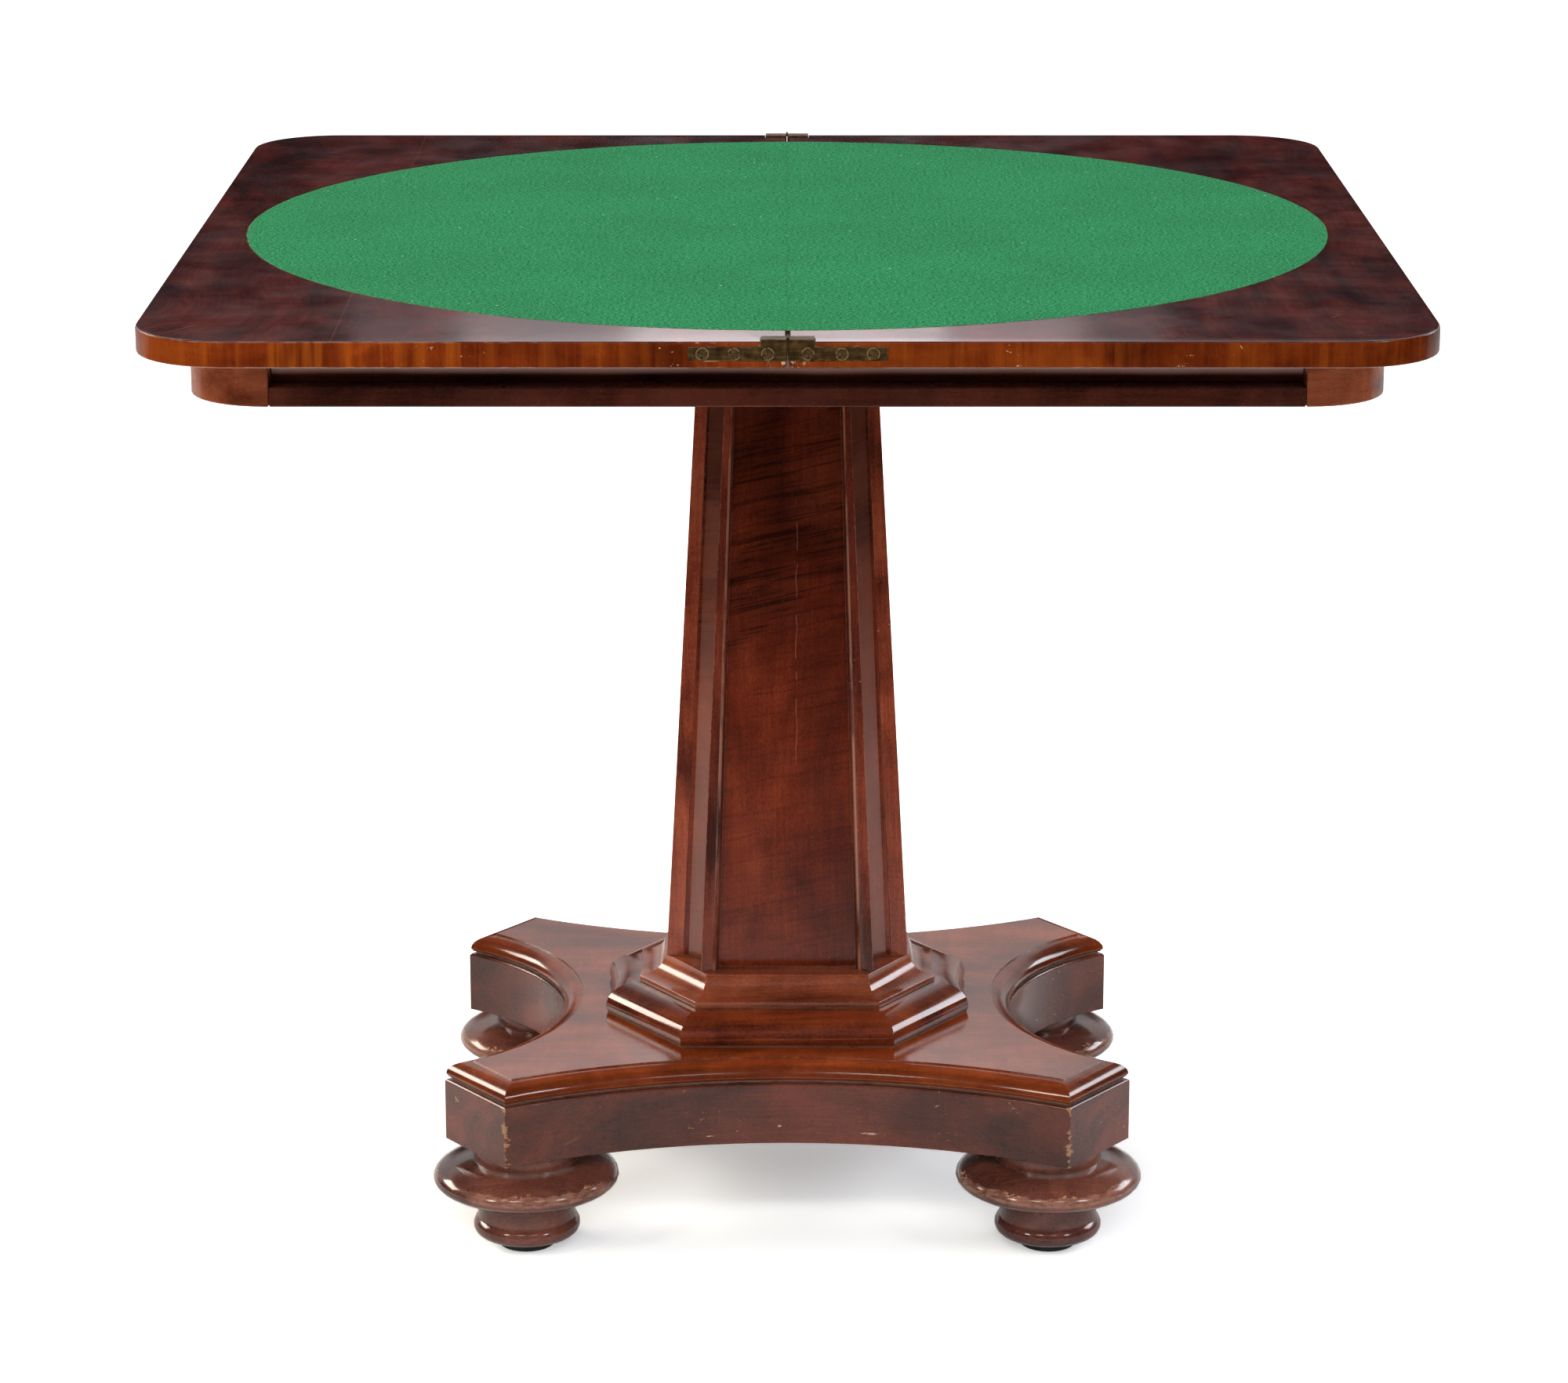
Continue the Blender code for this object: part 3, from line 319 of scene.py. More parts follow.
def smoothing_group(mitre):
    """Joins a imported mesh's split triangles and shades it smooth, up to its arrises and mitres."""
    tree = bpy.data.node_groups.new("smooth_shading", "GeometryNodeTree")
    for way in ("INPUT", "OUTPUT"):
        tree.interface.new_socket("Geometry", in_out=way, socket_type="NodeSocketGeometry")
    nodes, links = tree.nodes, tree.links
    given = nodes.new("NodeGroupInput").outputs[0]
    merge = nodes.new("GeometryNodeMergeByDistance")
    merge.inputs["Distance"].default_value = MERGE_DISTANCE
    drop = nodes.new("GeometryNodeRemoveAttribute")
    drop.inputs["Name"].default_value = "custom_normal"
    smooth = nodes.new("GeometryNodeSetShadeSmooth")
    angle = nodes.new("GeometryNodeInputMeshEdgeAngle")
    over = nodes.new("FunctionNodeCompare")
    over.inputs["B"].default_value = SMOOTH_ANGLE
    over_mitre = nodes.new("FunctionNodeCompare")
    over_mitre.inputs["B"].default_value = mitre
    ends = nodes.new("GeometryNodeInputMeshEdgeVertices")
    span = nodes.new("ShaderNodeVectorMath")
    span.operation = "SUBTRACT"
    rise = nodes.new("ShaderNodeSeparateXYZ")
    height = nodes.new("ShaderNodeMath")
    height.operation = "ABSOLUTE"
    upright = nodes.new("FunctionNodeCompare")
    upright.inputs["B"].default_value = LEVEL_RISE
    both = nodes.new("FunctionNodeBooleanMath")
    either = nodes.new("FunctionNodeBooleanMath")
    either.operation = "OR"
    sharp = nodes.new("GeometryNodeSetShadeSmooth")
    sharp.domain = "EDGE"
    sharp.inputs["Shade Smooth"].default_value = False
    links.new(given, merge.inputs["Geometry"])
    links.new(merge.outputs[0], drop.inputs["Geometry"])
    links.new(drop.outputs[0], smooth.inputs["Geometry"])
    links.new(smooth.outputs[0], sharp.inputs["Geometry"])
    links.new(angle.outputs["Unsigned Angle"], over.inputs["A"])
    links.new(angle.outputs["Unsigned Angle"], over_mitre.inputs["A"])
    links.new(ends.outputs["Position 1"], span.inputs[0])
    links.new(ends.outputs["Position 2"], span.inputs[1])
    links.new(span.outputs[0], rise.inputs[0])
    links.new(rise.outputs[2], height.inputs[0])
    links.new(height.outputs[0], upright.inputs["A"])
    links.new(over_mitre.outputs[0], both.inputs[0])
    links.new(upright.outputs[0], both.inputs[1])
    links.new(over.outputs[0], either.inputs[0])
    links.new(both.outputs[0], either.inputs[1])
    links.new(either.outputs[0], sharp.inputs["Selection"])
    links.new(sharp.outputs[0], nodes.new("NodeGroupOutput").inputs[0])
    return tree


# How sharply a mould turns its corner, at which its mitre stays crisp, by a node's first word
MITRES = {"socle": smoothing_group(math.radians(4)), "platform": smoothing_group(math.radians(8.5))}
NO_MITRES = smoothing_group(math.radians(180))


def soften(name, width, segments=2):
    """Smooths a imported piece's rounds and eases its arrises by a hair, for the light to catch."""
    item = NODES[name]
    group = MITRES.get(name.split("_")[0], NO_MITRES)
    item.modifiers.new("smooth_shading", "NODES").node_group = group
    round_over = item.modifiers.new("round_over", "BEVEL")
    round_over.width = width
    round_over.segments = segments
    round_over.limit_method = "ANGLE"
    round_over.angle_limit = SMOOTH_ANGLE
    even = item.modifiers.new("even_normals", "WEIGHTED_NORMAL")
    even.keep_sharp = True


# The leaves: dark figured veneer on top, cross-banded orange edge

def leaf_material(name, seed, seam_x):
    graph = Graph(name)
    x, y, z = graph.split(graph.place)
    facing = graph.split(graph.normal)[2]
    side = graph.ramp(graph.size(facing), 0.75, 0.55)
    bent = grain(graph, ALONG_Y, seed, 0.09)
    top, top_height = wood_colour(graph, bent, TOP_TONES, 0.50, 0.30, 0.20, 0.16, (7, 15))
    stain = graph.ramp(graph.noise(graph.place, 11.0, 4.0, 0.65, 0.5), 0.52, 0.64)
    top = graph.mix(graph.times(stain, 0.48), top, linear(38, 14, 19))
    seam = graph.ramp(graph.size(graph.minus(x, seam_x)), 0.9 * MM, 0.3 * MM)
    top = graph.mix(graph.times(seam, 0.16), top, linear(150, 96, 84))
    hairs = scratches(graph, graph.place, 1.3, 0.35)
    top = graph.mix(hairs, top, linear(150, 104, 98))
    upright = grain(graph, ALONG_Z, seed + 5, 0.0)
    edge, edge_height = wood_colour(graph, upright, EDGE_TONES, 0.60, 0.10, 0.16, 0.06, (20, 12))
    lengthways = graph.plus(x, graph.times(y, 1.31))
    inputs = {"W": graph.plus(lengthways, seed), "Scale": 9.5}
    lots = graph.add("ShaderNodeTexVoronoi", inputs, voronoi_dimensions="1D")
    lot_tone = graph.ramp(graph.split(lots.outputs["Color"])[0], 0.0, 1.0, 0.90, 1.07)
    edge = graph.shade(edge, graph.times(lot_tone, graph.ramp(x, -0.36, 0.12, 1.10, 0.72)))
    ribbon = graph.noise(graph.scaled(graph.place, (110, 110, 9)), 1.0, 2.0, 0.5, 0.5)
    gold = graph.times(graph.ramp(ribbon, 0.42, 0.74), graph.ramp(x, -0.28, -0.08, 0.60, 0.22))
    edge = graph.mix(gold, edge, linear(168, 82, 20))
    edge = graph.mix(graph.times(chips(graph, seed, 0.6), 0.8), edge, linear(206, 164, 120))
    edge = graph.mix(scratches(graph, graph.place, 0.7, 0.5), edge, linear(200, 150, 104))
    by_joint = graph.ramp(graph.size(x), 15 * MM, 6 * MM)
    by_joint = graph.times(by_joint, graph.ramp(z, LEAF_BOTTOM + 6 * MM, LEAF_BOTTOM + 4 * MM))
    flakes = graph.ramp(graph.noise(graph.scaled(graph.place, (330, 330, 160)), 1.0, 3.0, 0.6), 0.54, 0.58)
    edge = graph.mix(graph.times(graph.times(by_joint, flakes), 0.85), edge, linear(206, 178, 150))
    under = graph.ramp(facing, -0.55, -0.75)
    plain = graph.mix(graph.times(under, 0.40), top, linear(124, 62, 38))
    colour = graph.mix(side, plain, edge)
    low_arris = graph.ramp(graph.minus(z, LEAF_BOTTOM), 0.9 * MM, 0.3 * MM)
    flaked = graph.ramp(graph.noise(graph.scaled(graph.place, (90, 90, 1)), 1.0, 3.0, 0.7), 0.42, 0.56)
    pale = graph.times(graph.times(low_arris, flaked), side)
    colour = graph.mix(graph.times(pale, 0.22), colour, linear(196, 140, 108))
    height = graph.mix(side, top_height, edge_height)
    rough = graph.ramp(graph.noise(graph.place, 20.0, 3.0, 0.6), 0.25, 0.75, 0.10, 0.15)
    rough = graph.plus(rough, graph.times(side, 0.08))
    # Pale worn arrises with a painted highlight along them, stronger towards the left end
    wear_and_highlight_patches = graph.plus(graph.noise(graph.place, 85.0, 3.0, 0.65), graph.ramp(x, -0.05, -0.25, 0.0, 0.13))
    rubbed = graph.times(graph.edges(1.3 * MM), graph.ramp(wear_and_highlight_patches, 0.56, 0.68))
    colour = graph.mix(graph.times(rubbed, 0.75), colour, linear(222, 184, 152))
    # Painted shade at the joint between the two leaves, darkest on the faces that meet
    colour = graph.shade(colour, graph.ramp(graph.size(x), 1.0 * MM, 2.2 * MM, 0.35, 1.0))
    normal = graph.bump(graph.noise(graph.place, 26.0, 1.0), 0.18 * MM, 0.3)
    normal = graph.bump(height, 0.04 * MM, 0.4, normal)
    return graph.finish(Base_Color=colour, Roughness=rough, Normal=normal, IOR=1.5)


def pale_foot_band(graph, colour):
    """A foot's widest line, pale in a ragged band and chipped along its upper edge, under a pale flat
    shoulder.
    """
    height = graph.minus(graph.split(graph.place)[2], BUN_MIDDLE)
    ragged = graph.times(graph.minus(graph.noise(graph.place, 75.0, 4.0, 0.65), 0.5), 9 * MM)
    top = graph.ramp(graph.plus(height, ragged), 6.6 * MM, 5.9 * MM)
    length = graph.ramp(graph.noise(graph.place, 15.0, 1.0), 0.40, 0.50)
    flecks = graph.noise(graph.scaled(graph.place, (160, 160, 420)), 1.0, 3.0, 0.6)
    uneven = graph.times(length, graph.ramp(flecks, 0.36, 0.60, 0.35, 1.0))
    band = graph.times(graph.times(top, graph.ramp(height, -3 * MM, 1 * MM)), uneven)
    colour = graph.mix(graph.times(band, 0.62), colour, linear(160, 116, 98))
    rim = graph.ramp(graph.size(graph.minus(graph.plus(height, ragged), 6.2 * MM)), 1.6 * MM, 0.4 * MM)
    specks = graph.ramp(graph.noise(graph.scaled(graph.place, (230, 230, 420)), 1.0, 3.0, 0.6), 0.50, 0.56)
    chosen = graph.ramp(graph.noise(graph.place, 31.0, 2.0), 0.50, 0.60)
    chipped = graph.times(graph.times(rim, specks), graph.times(chosen, 0.7))
    colour = graph.mix(chipped, colour, linear(206, 160, 122))
    flat = graph.ramp(graph.split(graph.normal)[2], 0.985, 0.999)
    settled = graph.ramp(graph.noise(graph.place, 24.0, 3.0, 0.6), 0.46, 0.62, 0.0, 0.5)
    return graph.mix(graph.times(flat, settled), colour, linear(160, 148, 142))


def knocked_corners(graph, colour):
    """The plinth's front corners, chipped to the bare wood, and three flakes on its front."""
    x, y, z = graph.split(graph.place)
    wander = graph.noise(graph.scaled(graph.place, (60, 60, 150)), 1.0, 4.0, 0.7)
    ragged = graph.times(graph.minus(wander, 0.50), 44 * MM)
    for side in (-1, 1):
        aside = graph.size(graph.minus(x, side * PLINTH_CORNER[0]))
        near = graph.plus(aside, graph.size(graph.minus(y, PLINTH_CORNER[1])))
        chipped = graph.ramp(graph.minus(near, ragged), 1.2 * MM, 0.5 * MM)
        colour = graph.mix(graph.times(chipped, 0.65), colour, linear(176, 128, 88))
    front = graph.ramp(graph.split(graph.normal)[1], -0.6, -0.8)
    wobble = graph.times(graph.minus(graph.noise(graph.place, 260.0, 4.0, 0.65), 0.5), 6.0 * MM)
    for place, level, width in FLAKES:
        along = graph.times(graph.size(graph.minus(x, place)), 1.3 * MM / width)
        near = graph.plus(graph.times(along, 0.8), graph.times(graph.size(graph.minus(z, level)), 1.8))
        flake = graph.ramp(graph.minus(near, wobble), 1.7 * MM, 1.1 * MM)
        colour = graph.mix(graph.times(graph.times(flake, front), 0.75), colour, linear(196, 156, 132))
    return colour


def column_figure_and_shade(graph, colour):
    """Dark wavy flames across the grain, thickest high up, with one hairline crack; painted shade in the
    corners by the strips and towards the top under the table top, and a painted pale reflection on the
    faces turned to the sides.
    """
    x, y, z = graph.split(graph.place)
    up = graph.ramp(z, COLUMN_LOW, COLUMN_HIGH)
    tilted = graph.minus(z, graph.times(x, 0.22))
    place = graph.join(graph.times(x, 8.0), graph.plus(y, 4.7), graph.times(tilted, 13.0))
    clouds = graph.noise(place, 1.0, 3.0, 0.5, 0.5)
    place = graph.join(graph.times(x, 14.0), graph.times(y, 14.0), graph.times(tilted, 260.0))
    lines = graph.noise(place, 1.0, 3.0, 0.6, 0.7)
    dim = graph.times(graph.ramp(clouds, 0.47, 0.66), graph.ramp(up, 0.25, 0.75, 0.16, 0.42))
    flames = graph.times(graph.ramp(lines, 0.46, 0.68), graph.ramp(clouds, 0.38, 0.56))
    flames = graph.times(flames, graph.ramp(up, 0.30, 0.65, 0.24, 0.62))
    # Faces turned to the sides get a painted pale reflection and fainter flames
    aside = graph.ramp(graph.size(graph.split(graph.normal)[0]), 0.3, 0.5)
    flames = graph.times(flames, graph.minus(1.0, graph.times(aside, 0.7)))
    colour = graph.mix(graph.times(aside, 0.34), colour, linear(160, 100, 78))
    # Painted shade in the corners beside the strips
    corner = graph.ramp(graph.crevices(8 * MM), 0.0, 0.7, 1.0, 0.45)
    colour = graph.shade(colour, corner)
    colour = graph.shade(colour, graph.minus(1.0, dim))
    colour = graph.shade(colour, graph.minus(1.0, flames))
    # Painted shade, darker towards the top, where the table top shades the column
    colour = graph.shade(colour, graph.ramp(z, COLUMN_HIGH - 0.30, COLUMN_HIGH - 0.04, 1.0, 0.52))
    bend = graph.noise(graph.scaled(graph.place, (0, 0, 26)), 1.0, 3.0)
    wander = graph.times(graph.minus(bend, 0.5), 9 * MM)
    off = graph.size(graph.minus(graph.minus(x, CRACK_PLACE), wander))
    broken = graph.ramp(graph.noise(graph.scaled(graph.place, (1, 1, 60)), 1.0, 1.0), 0.44, 0.52)
    length = graph.ramp(graph.size(graph.minus(z, CRACK_LEVEL)), 0.11, 0.09)
    crack = graph.times(graph.ramp(off, 0.40 * MM, 0.12 * MM), length)
    crack = graph.times(crack, graph.ramp(y, 0.0, -0.03))
    return graph.mix(graph.times(graph.times(crack, broken), 0.42), colour, linear(158, 104, 78))


def board_reflection_and_shade(graph, colour):
    """A board's outer face, with a painted pale reflection low down and painted shade in the corner over
    the rail.
    """
    flat = graph.scaled(graph.place, (1, 1, 0))
    facing = graph.add("ShaderNodeVectorMath", (flat, graph.normal), operation="DOT_PRODUCT")
    outside = graph.ramp(facing.outputs["Value"], 0.0, 0.02)
    height = graph.minus(graph.split(graph.place)[2], BOARD_FOOT)
    wander = graph.noise(graph.scaled(graph.place, (5, 5, 0)), 1.0, 3.0)
    uneven = graph.times(graph.minus(wander, 0.5), 5 * MM)
    # Painted shade in the corner over the rail
    colour = graph.shade(colour, graph.ramp(height, 2.5 * MM, 7 * MM, 0.25, 1.0))
    # A painted pale reflection in a band above it, on the outward faces only
    lit = graph.ramp(graph.plus(height, uneven), 4.5 * MM, 10.0 * MM)
    painted_reflection = graph.times(lit, graph.ramp(height, 24 * MM, 15 * MM))
    return graph.mix(graph.times(graph.times(painted_reflection, outside), 0.90), colour, linear(214, 168, 158))


def slab_edge(graph, colour):
    """The platform's top board, darker on its moulded edge."""
    return graph.shade(colour, graph.ramp(graph.split(graph.normal)[2], 0.93, 0.80, 1.0, 0.62))


def arris_wear_and_highlight(graph, colour):
    """Thin pale lines on a strip's two rounded arrises, broken here and there: partly wear, partly a
    painted highlight.
    """
    across, along = graph.split(graph.normal)[:2]
    turned = graph.math("MINIMUM", graph.size(across), graph.size(along))
    line = graph.ramp(turned, 0.50, 0.64)
    broken = graph.ramp(graph.noise(graph.scaled(graph.place, (60, 60, 14)), 1.0, 3.0, 0.6), 0.38, 0.56)
    return graph.mix(graph.times(graph.times(line, broken), 0.55), colour, linear(186, 128, 100))


def wood_material(
    name, tones, turn, seed, roughness=0.26, dust_and_shade=0.0, wear=0.0, marks=0.0, touch=None, deep=0.62, **figure
):
    """A polished wood, with the marks, the dirt, the painted shade in its corners and the touch of its own
    that a piece shows.
    """
    graph = Graph(name)
    colour, height = wood_colour(graph, grain(graph, turn, seed), tones, **figure)
    if marks:
        colour = graph.mix(graph.times(chips(graph, seed, marks), 0.8), colour, WORN)
        dark = spots(graph, graph.place, 75.0, 0.80, 0.84, seed + 3)
        colour = graph.mix(graph.times(dark, marks * 0.8), colour, tones[0])
        colour = graph.mix(scratches(graph, graph.place, seed % 3, marks * 0.6), colour, WORN)
    if touch:
        colour = touch(graph, colour)
    return polish(graph, colour, height, roughness, dust_and_shade, wear, deep)


# Baize: one felt cloth, laid over both leaves

REST_PLACE = "rest_place"
BAIZE_STEPS = 132
BAIZE_ROWS = 56


def baize_material():
    """The pattern follows the places kept on the cloth's mesh, not the mesh's present shape."""
    graph = Graph("baize")
    graph.place = graph.add("ShaderNodeAttribute", attribute_name=REST_PLACE).outputs["Vector"]
    x, y = graph.split(graph.place)[:2]
    fine = graph.noise(graph.place, 900.0, 3.0, 0.7)
    nap = graph.noise(graph.scaled(graph.place, (430, 780, 400)), 1.0, 3.0, 0.7)
    broad = graph.noise(graph.place, 9.0, 3.0, 0.6)
    tone = graph.plus(graph.times(fine, 0.35), graph.times(nap, 0.65))
    stops = [(0.40, linear(4, 72, 38)), (0.50, linear(18, 121, 72)), (0.60, linear(76, 168, 114))]
    colour = graph.tones(tone, stops)
    colour = graph.shade(colour, graph.ramp(broad, 0.3, 0.7, 0.94, 1.06))
    lint = spots(graph, graph.scaled(graph.place, (1, 1, 0)), 150.0, 0.955, 0.97)
    worn = graph.ramp(graph.noise(graph.place, 6.5, 2.0), 0.54, 0.70)
    flecks = graph.times(spots(graph, graph.scaled(graph.place, (1, 1, 0)), 310.0, 0.80, 0.84, 4.0), worn)
    colour = graph.mix(graph.times(lint, 0.75), colour, linear(200, 214, 178))
    colour = graph.mix(graph.times(flecks, 0.5), colour, linear(170, 204, 160))
    turned = graph.mapped(graph.place, rotation=(0, 0, 0.6))
    threads = graph.noise(graph.scaled(turned, (120, 1400, 1)), 1.0, 1.0)
    colour = graph.mix(graph.ramp(threads, 0.76, 0.80, 0.0, 0.4), colour, linear(176, 206, 166))
    radius = graph.math("SQRT", graph.plus(graph.times(x, x), graph.times(y, y)))
    frayed = graph.plus(radius, graph.times(graph.noise(graph.place, 420.0, 2.0), 2.4 * MM))
    rim = graph.ramp(frayed, BAIZE_RADIUS - 0.2 * MM, BAIZE_RADIUS + 1.2 * MM)
    colour = graph.mix(graph.times(rim, 0.25), colour, linear(120, 170, 120))
    # Painted shade in the faint crease over the joint
    crease_shade = graph.ramp(graph.size(x), 1.6 * MM, 0.2 * MM)
    colour = graph.shade(colour, graph.ramp(crease_shade, 0.0, 1.0, 1.0, 0.93))
    height = graph.plus(fine, graph.times(nap, 1.4))
    normal = graph.bump(height, 0.35 * MM, 0.7)
    return graph.finish(
        Base_Color=colour,
        Roughness=0.95,
        Normal=normal,
        Specular_IOR_Level=0.05,
        Sheen_Weight=0.05,
        Sheen_Roughness=0.5,
        Sheen_Tint=linear(160, 214, 176),
    )


def add_baize():
    """A round felt with a slightly ragged rim and a faint dip over the joint."""
    top = BAIZE_HIGH[2]
    thickness = top - BAIZE_LOW[2]
    columns = sorted(
        {
            round(BAIZE_RADIUS * math.sin(math.radians(90) * step / BAIZE_STEPS), 6)
            for step in range(1 - BAIZE_STEPS, BAIZE_STEPS)
        }
        | {round(step * 0.8 * MM, 6) for step in range(-7, 8)}
    )
    felt = bmesh.new()
    upper, lower = [], []
    for x in columns:
        high, low = [], []
        for row in range(BAIZE_ROWS + 1):
            share = math.sin(math.radians(90) * (2 * row / BAIZE_ROWS - 1))
            reach = math.sqrt(max(BAIZE_RADIUS**2 - x * x, 0))
            edge = Vector((x, share * reach, 0))
            out = edge.normalized() if edge.length > 0 else Vector((0, 1, 0))
            ragged = noise.noise(out * BAIZE_RADIUS * 160) * 0.35 * MM - 0.30 * MM
            ragged *= max(0.0, abs(share)) ** 6
            point = edge + out * ragged
            lift = noise.noise(point * 24) * 0.06 * MM + noise.noise(point * 90) * 0.03 * MM
            dip = 0.22 * MM * math.exp(-((x / (1.1 * MM)) ** 2))
            roll = 0.30 * MM * abs(share) ** 40
            height = top - 0.10 * MM + lift - dip - roll
            high.append(felt.verts.new((point.x, point.y, height)))
            low.append(felt.verts.new((point.x, point.y, top - thickness)))
        upper.append(high)
        lower.append(low)
    last = len(columns) - 1
    for index in range(last):
        high, next_high = upper[index], upper[index + 1]
        low, next_low = lower[index], lower[index + 1]
        for row in range(BAIZE_ROWS):
            felt.faces.new((high[row], next_high[row], next_high[row + 1], high[row + 1]))
            felt.faces.new((low[row], low[row + 1], next_low[row + 1], next_low[row]))
        felt.faces.new((low[0], next_low[0], next_high[0], high[0]))
        felt.faces.new((high[-1], next_high[-1], next_low[-1], low[-1]))
    for row in range(BAIZE_ROWS):
        felt.faces.new((lower[0][row], upper[0][row], upper[0][row + 1], lower[0][row + 1]))
        felt.faces.new((lower[last][row], lower[last][row + 1], upper[last][row + 1], upper[last][row]))
    bmesh.ops.recalc_face_normals(felt, faces=felt.faces)
    mesh = bpy.data.meshes.new("baize")
    felt.to_mesh(mesh)
    felt.free()
    places = np.array([vertex.co for vertex in mesh.vertices], dtype=np.float32)
    kept = mesh.attributes.new(REST_PLACE, "FLOAT_VECTOR", "POINT")
    kept.data.foreach_set("vector", places.ravel())
    mesh.shade_smooth()
    mesh.set_sharp_from_angle(angle=math.radians(50))
    mesh.materials.append(baize_material())
    cloth = bpy.data.objects.new("baize", mesh)
    bpy.context.scene.collection.objects.link(cloth)
    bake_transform(cloth)
    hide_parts("baize_fixed", "baize_folding")


# Hinges and their screws

SCREW_PLACES = ((13.4, -0.2), (36.0, -0.3), (56.9, -0.2))
SCREW_RADIUS = 3.8 * MM
SCREW_STEPS = 36
SCREW_BACK = 0.6 * MM
SLOT_WIDTH = 1.0 * MM
SLOT_HEIGHT = 0.9 * MM
STRAP_MIDDLE = LEAF_TOP - 8.2 * MM


def brass_material(name, seed):
    graph = Graph(name)
    x, _, z = graph.split(graph.place)
    patina = graph.noise(graph.place, 160.0, 4.0, 0.65)
    streak = graph.noise(graph.scaled(graph.place, (60, 60, 900)), 1.0, 2.0)
    tone = graph.plus(graph.times(patina, 0.65), graph.times(streak, 0.35))
    stops = [(0.34, linear(46, 32, 14)), (0.50, linear(78, 57, 28)), (0.66, linear(112, 86, 48))]
    colour = graph.tones(tone, stops)
    ring = None
    for across, rise in SCREW_PLACES:
        reach_x = graph.minus(graph.size(x), across * MM)
        reach_z = graph.minus(z, STRAP_MIDDLE + rise * MM)
        square = graph.plus(graph.times(reach_x, reach_x), graph.times(reach_z, reach_z))
        radius = graph.math("SQRT", square)
        line = graph.ramp(graph.size(graph.minus(radius, SCREW_RADIUS + 0.25 * MM)), 0.55 * MM, 0.15 * MM)
        ring = line if ring is None else graph.math("MAXIMUM", ring, line)
    broken = graph.ramp(graph.noise(graph.place, 300.0 + seed, 2.0), 0.36, 0.52)
    colour = graph.mix(graph.times(graph.times(ring, broken), 0.7), colour, linear(172, 148, 108))
    rubbed = graph.times(graph.edges(0.8 * MM), broken)
    colour = graph.mix(graph.times(rubbed, 0.75), colour, linear(182, 156, 112))
    # Painted shade at the joint between the strap's two halves
    colour = graph.shade(colour, graph.ramp(graph.size(x), 0.5 * MM, 1.3 * MM, 0.30, 1.0))
    rough = graph.ramp(patina, 0.3, 0.7, 0.42, 0.62)
    normal = graph.bump(graph.plus(patina, graph.times(ring, -0.8)), 0.12 * MM, 0.5)
    return graph.finish(Base_Color=colour, Metallic=0.6, Roughness=rough, Normal=normal)


def screw_mesh():
    """A slotted countersunk head, its face towards -Y and its centre at the origin."""
    head_shape = bmesh.new()
    profile = ((SCREW_RADIUS, 0.0), (SCREW_RADIUS - 0.25 * MM, 0.16 * MM), (SCREW_RADIUS * 0.55, 0.21 * MM))
    rings = []
    for radius, rise in profile:
        ring = []
        for step in range(SCREW_STEPS):
            angle = 2 * math.pi * step / SCREW_STEPS
            ring.append(head_shape.verts.new((radius * math.cos(angle), -rise, radius * math.sin(angle))))
        rings.append(ring)
    for outer, inner in zip(rings, rings[1:]):
        for step in range(SCREW_STEPS):
            after = (step + 1) % SCREW_STEPS
            head_shape.faces.new((outer[step], outer[after], inner[after], inner[step]))
    head_shape.faces.new(rings[-1])
    back = [head_shape.verts.new((point.co.x, SCREW_BACK, point.co.z)) for point in rings[0]]
    for step in range(SCREW_STEPS):
        after = (step + 1) % SCREW_STEPS
        head_shape.faces.new((rings[0][after], rings[0][step], back[step], back[after]))
    head_shape.faces.new(back)
    bmesh.ops.recalc_face_normals(head_shape, faces=head_shape.faces)
    body = bpy.data.meshes.new("screw")
    head_shape.to_mesh(body)
    head_shape.free()
    cutter_mesh = bpy.data.meshes.new("slot")
    slot_shape = bmesh.new()
    bmesh.ops.create_cube(slot_shape, size=1.0)
    bmesh.ops.scale(slot_shape, vec=(3 * SCREW_RADIUS, SLOT_HEIGHT, SLOT_WIDTH), verts=slot_shape.verts)
    bmesh.ops.translate(slot_shape, vec=(0, -profile[-1][1], 0), verts=slot_shape.verts)
    slot_shape.to_mesh(cutter_mesh)
    slot_shape.free()
    head = bpy.data.objects.new("screw_body", body)
    cutter = bpy.data.objects.new("screw_slot", cutter_mesh)
    for item in (head, cutter):
        bpy.context.scene.collection.objects.link(item)
    cut = head.modifiers.new("slot", "BOOLEAN")
    cut.operation = "DIFFERENCE"
    cut.object = cutter
    cut.solver = "EXACT"
    bpy.context.view_layer.update()
    evaluated = head.evaluated_get(bpy.context.evaluated_depsgraph_get())
    mesh = bpy.data.meshes.new_from_object(evaluated)
    mesh.name = "slotted_screw"
    for item in (head, cutter):
        bpy.data.objects.remove(item, do_unlink=True)
    mesh.shade_smooth()
    mesh.set_sharp_from_angle(angle=math.radians(30))
    return mesh


def screw_material():
    graph = Graph("screw_brass")
    patina = graph.noise(graph.place, 420.0, 3.0, 0.6)
    stops = [(0.34, linear(54, 38, 19)), (0.52, linear(90, 67, 37)), (0.68, linear(132, 104, 66))]
    colour = graph.tones(patina, stops)
    brushed = graph.noise(graph.scaled(graph.place, (3000, 3000, 260)), 1.0, 2.0)
    colour = graph.mix(graph.ramp(brushed, 0.60, 0.72, 0.0, 0.4), colour, linear(172, 144, 104))
    rubbed = graph.edges(0.4 * MM)
    colour = graph.mix(graph.times(rubbed, 0.6), colour, linear(182, 154, 112))
    rough = graph.ramp(patina, 0.3, 0.7, 0.38, 0.6)
    normal = graph.bump(brushed, 0.05 * MM, 0.5)
    return graph.finish(Base_Color=colour, Metallic=0.6, Roughness=rough, Normal=normal)


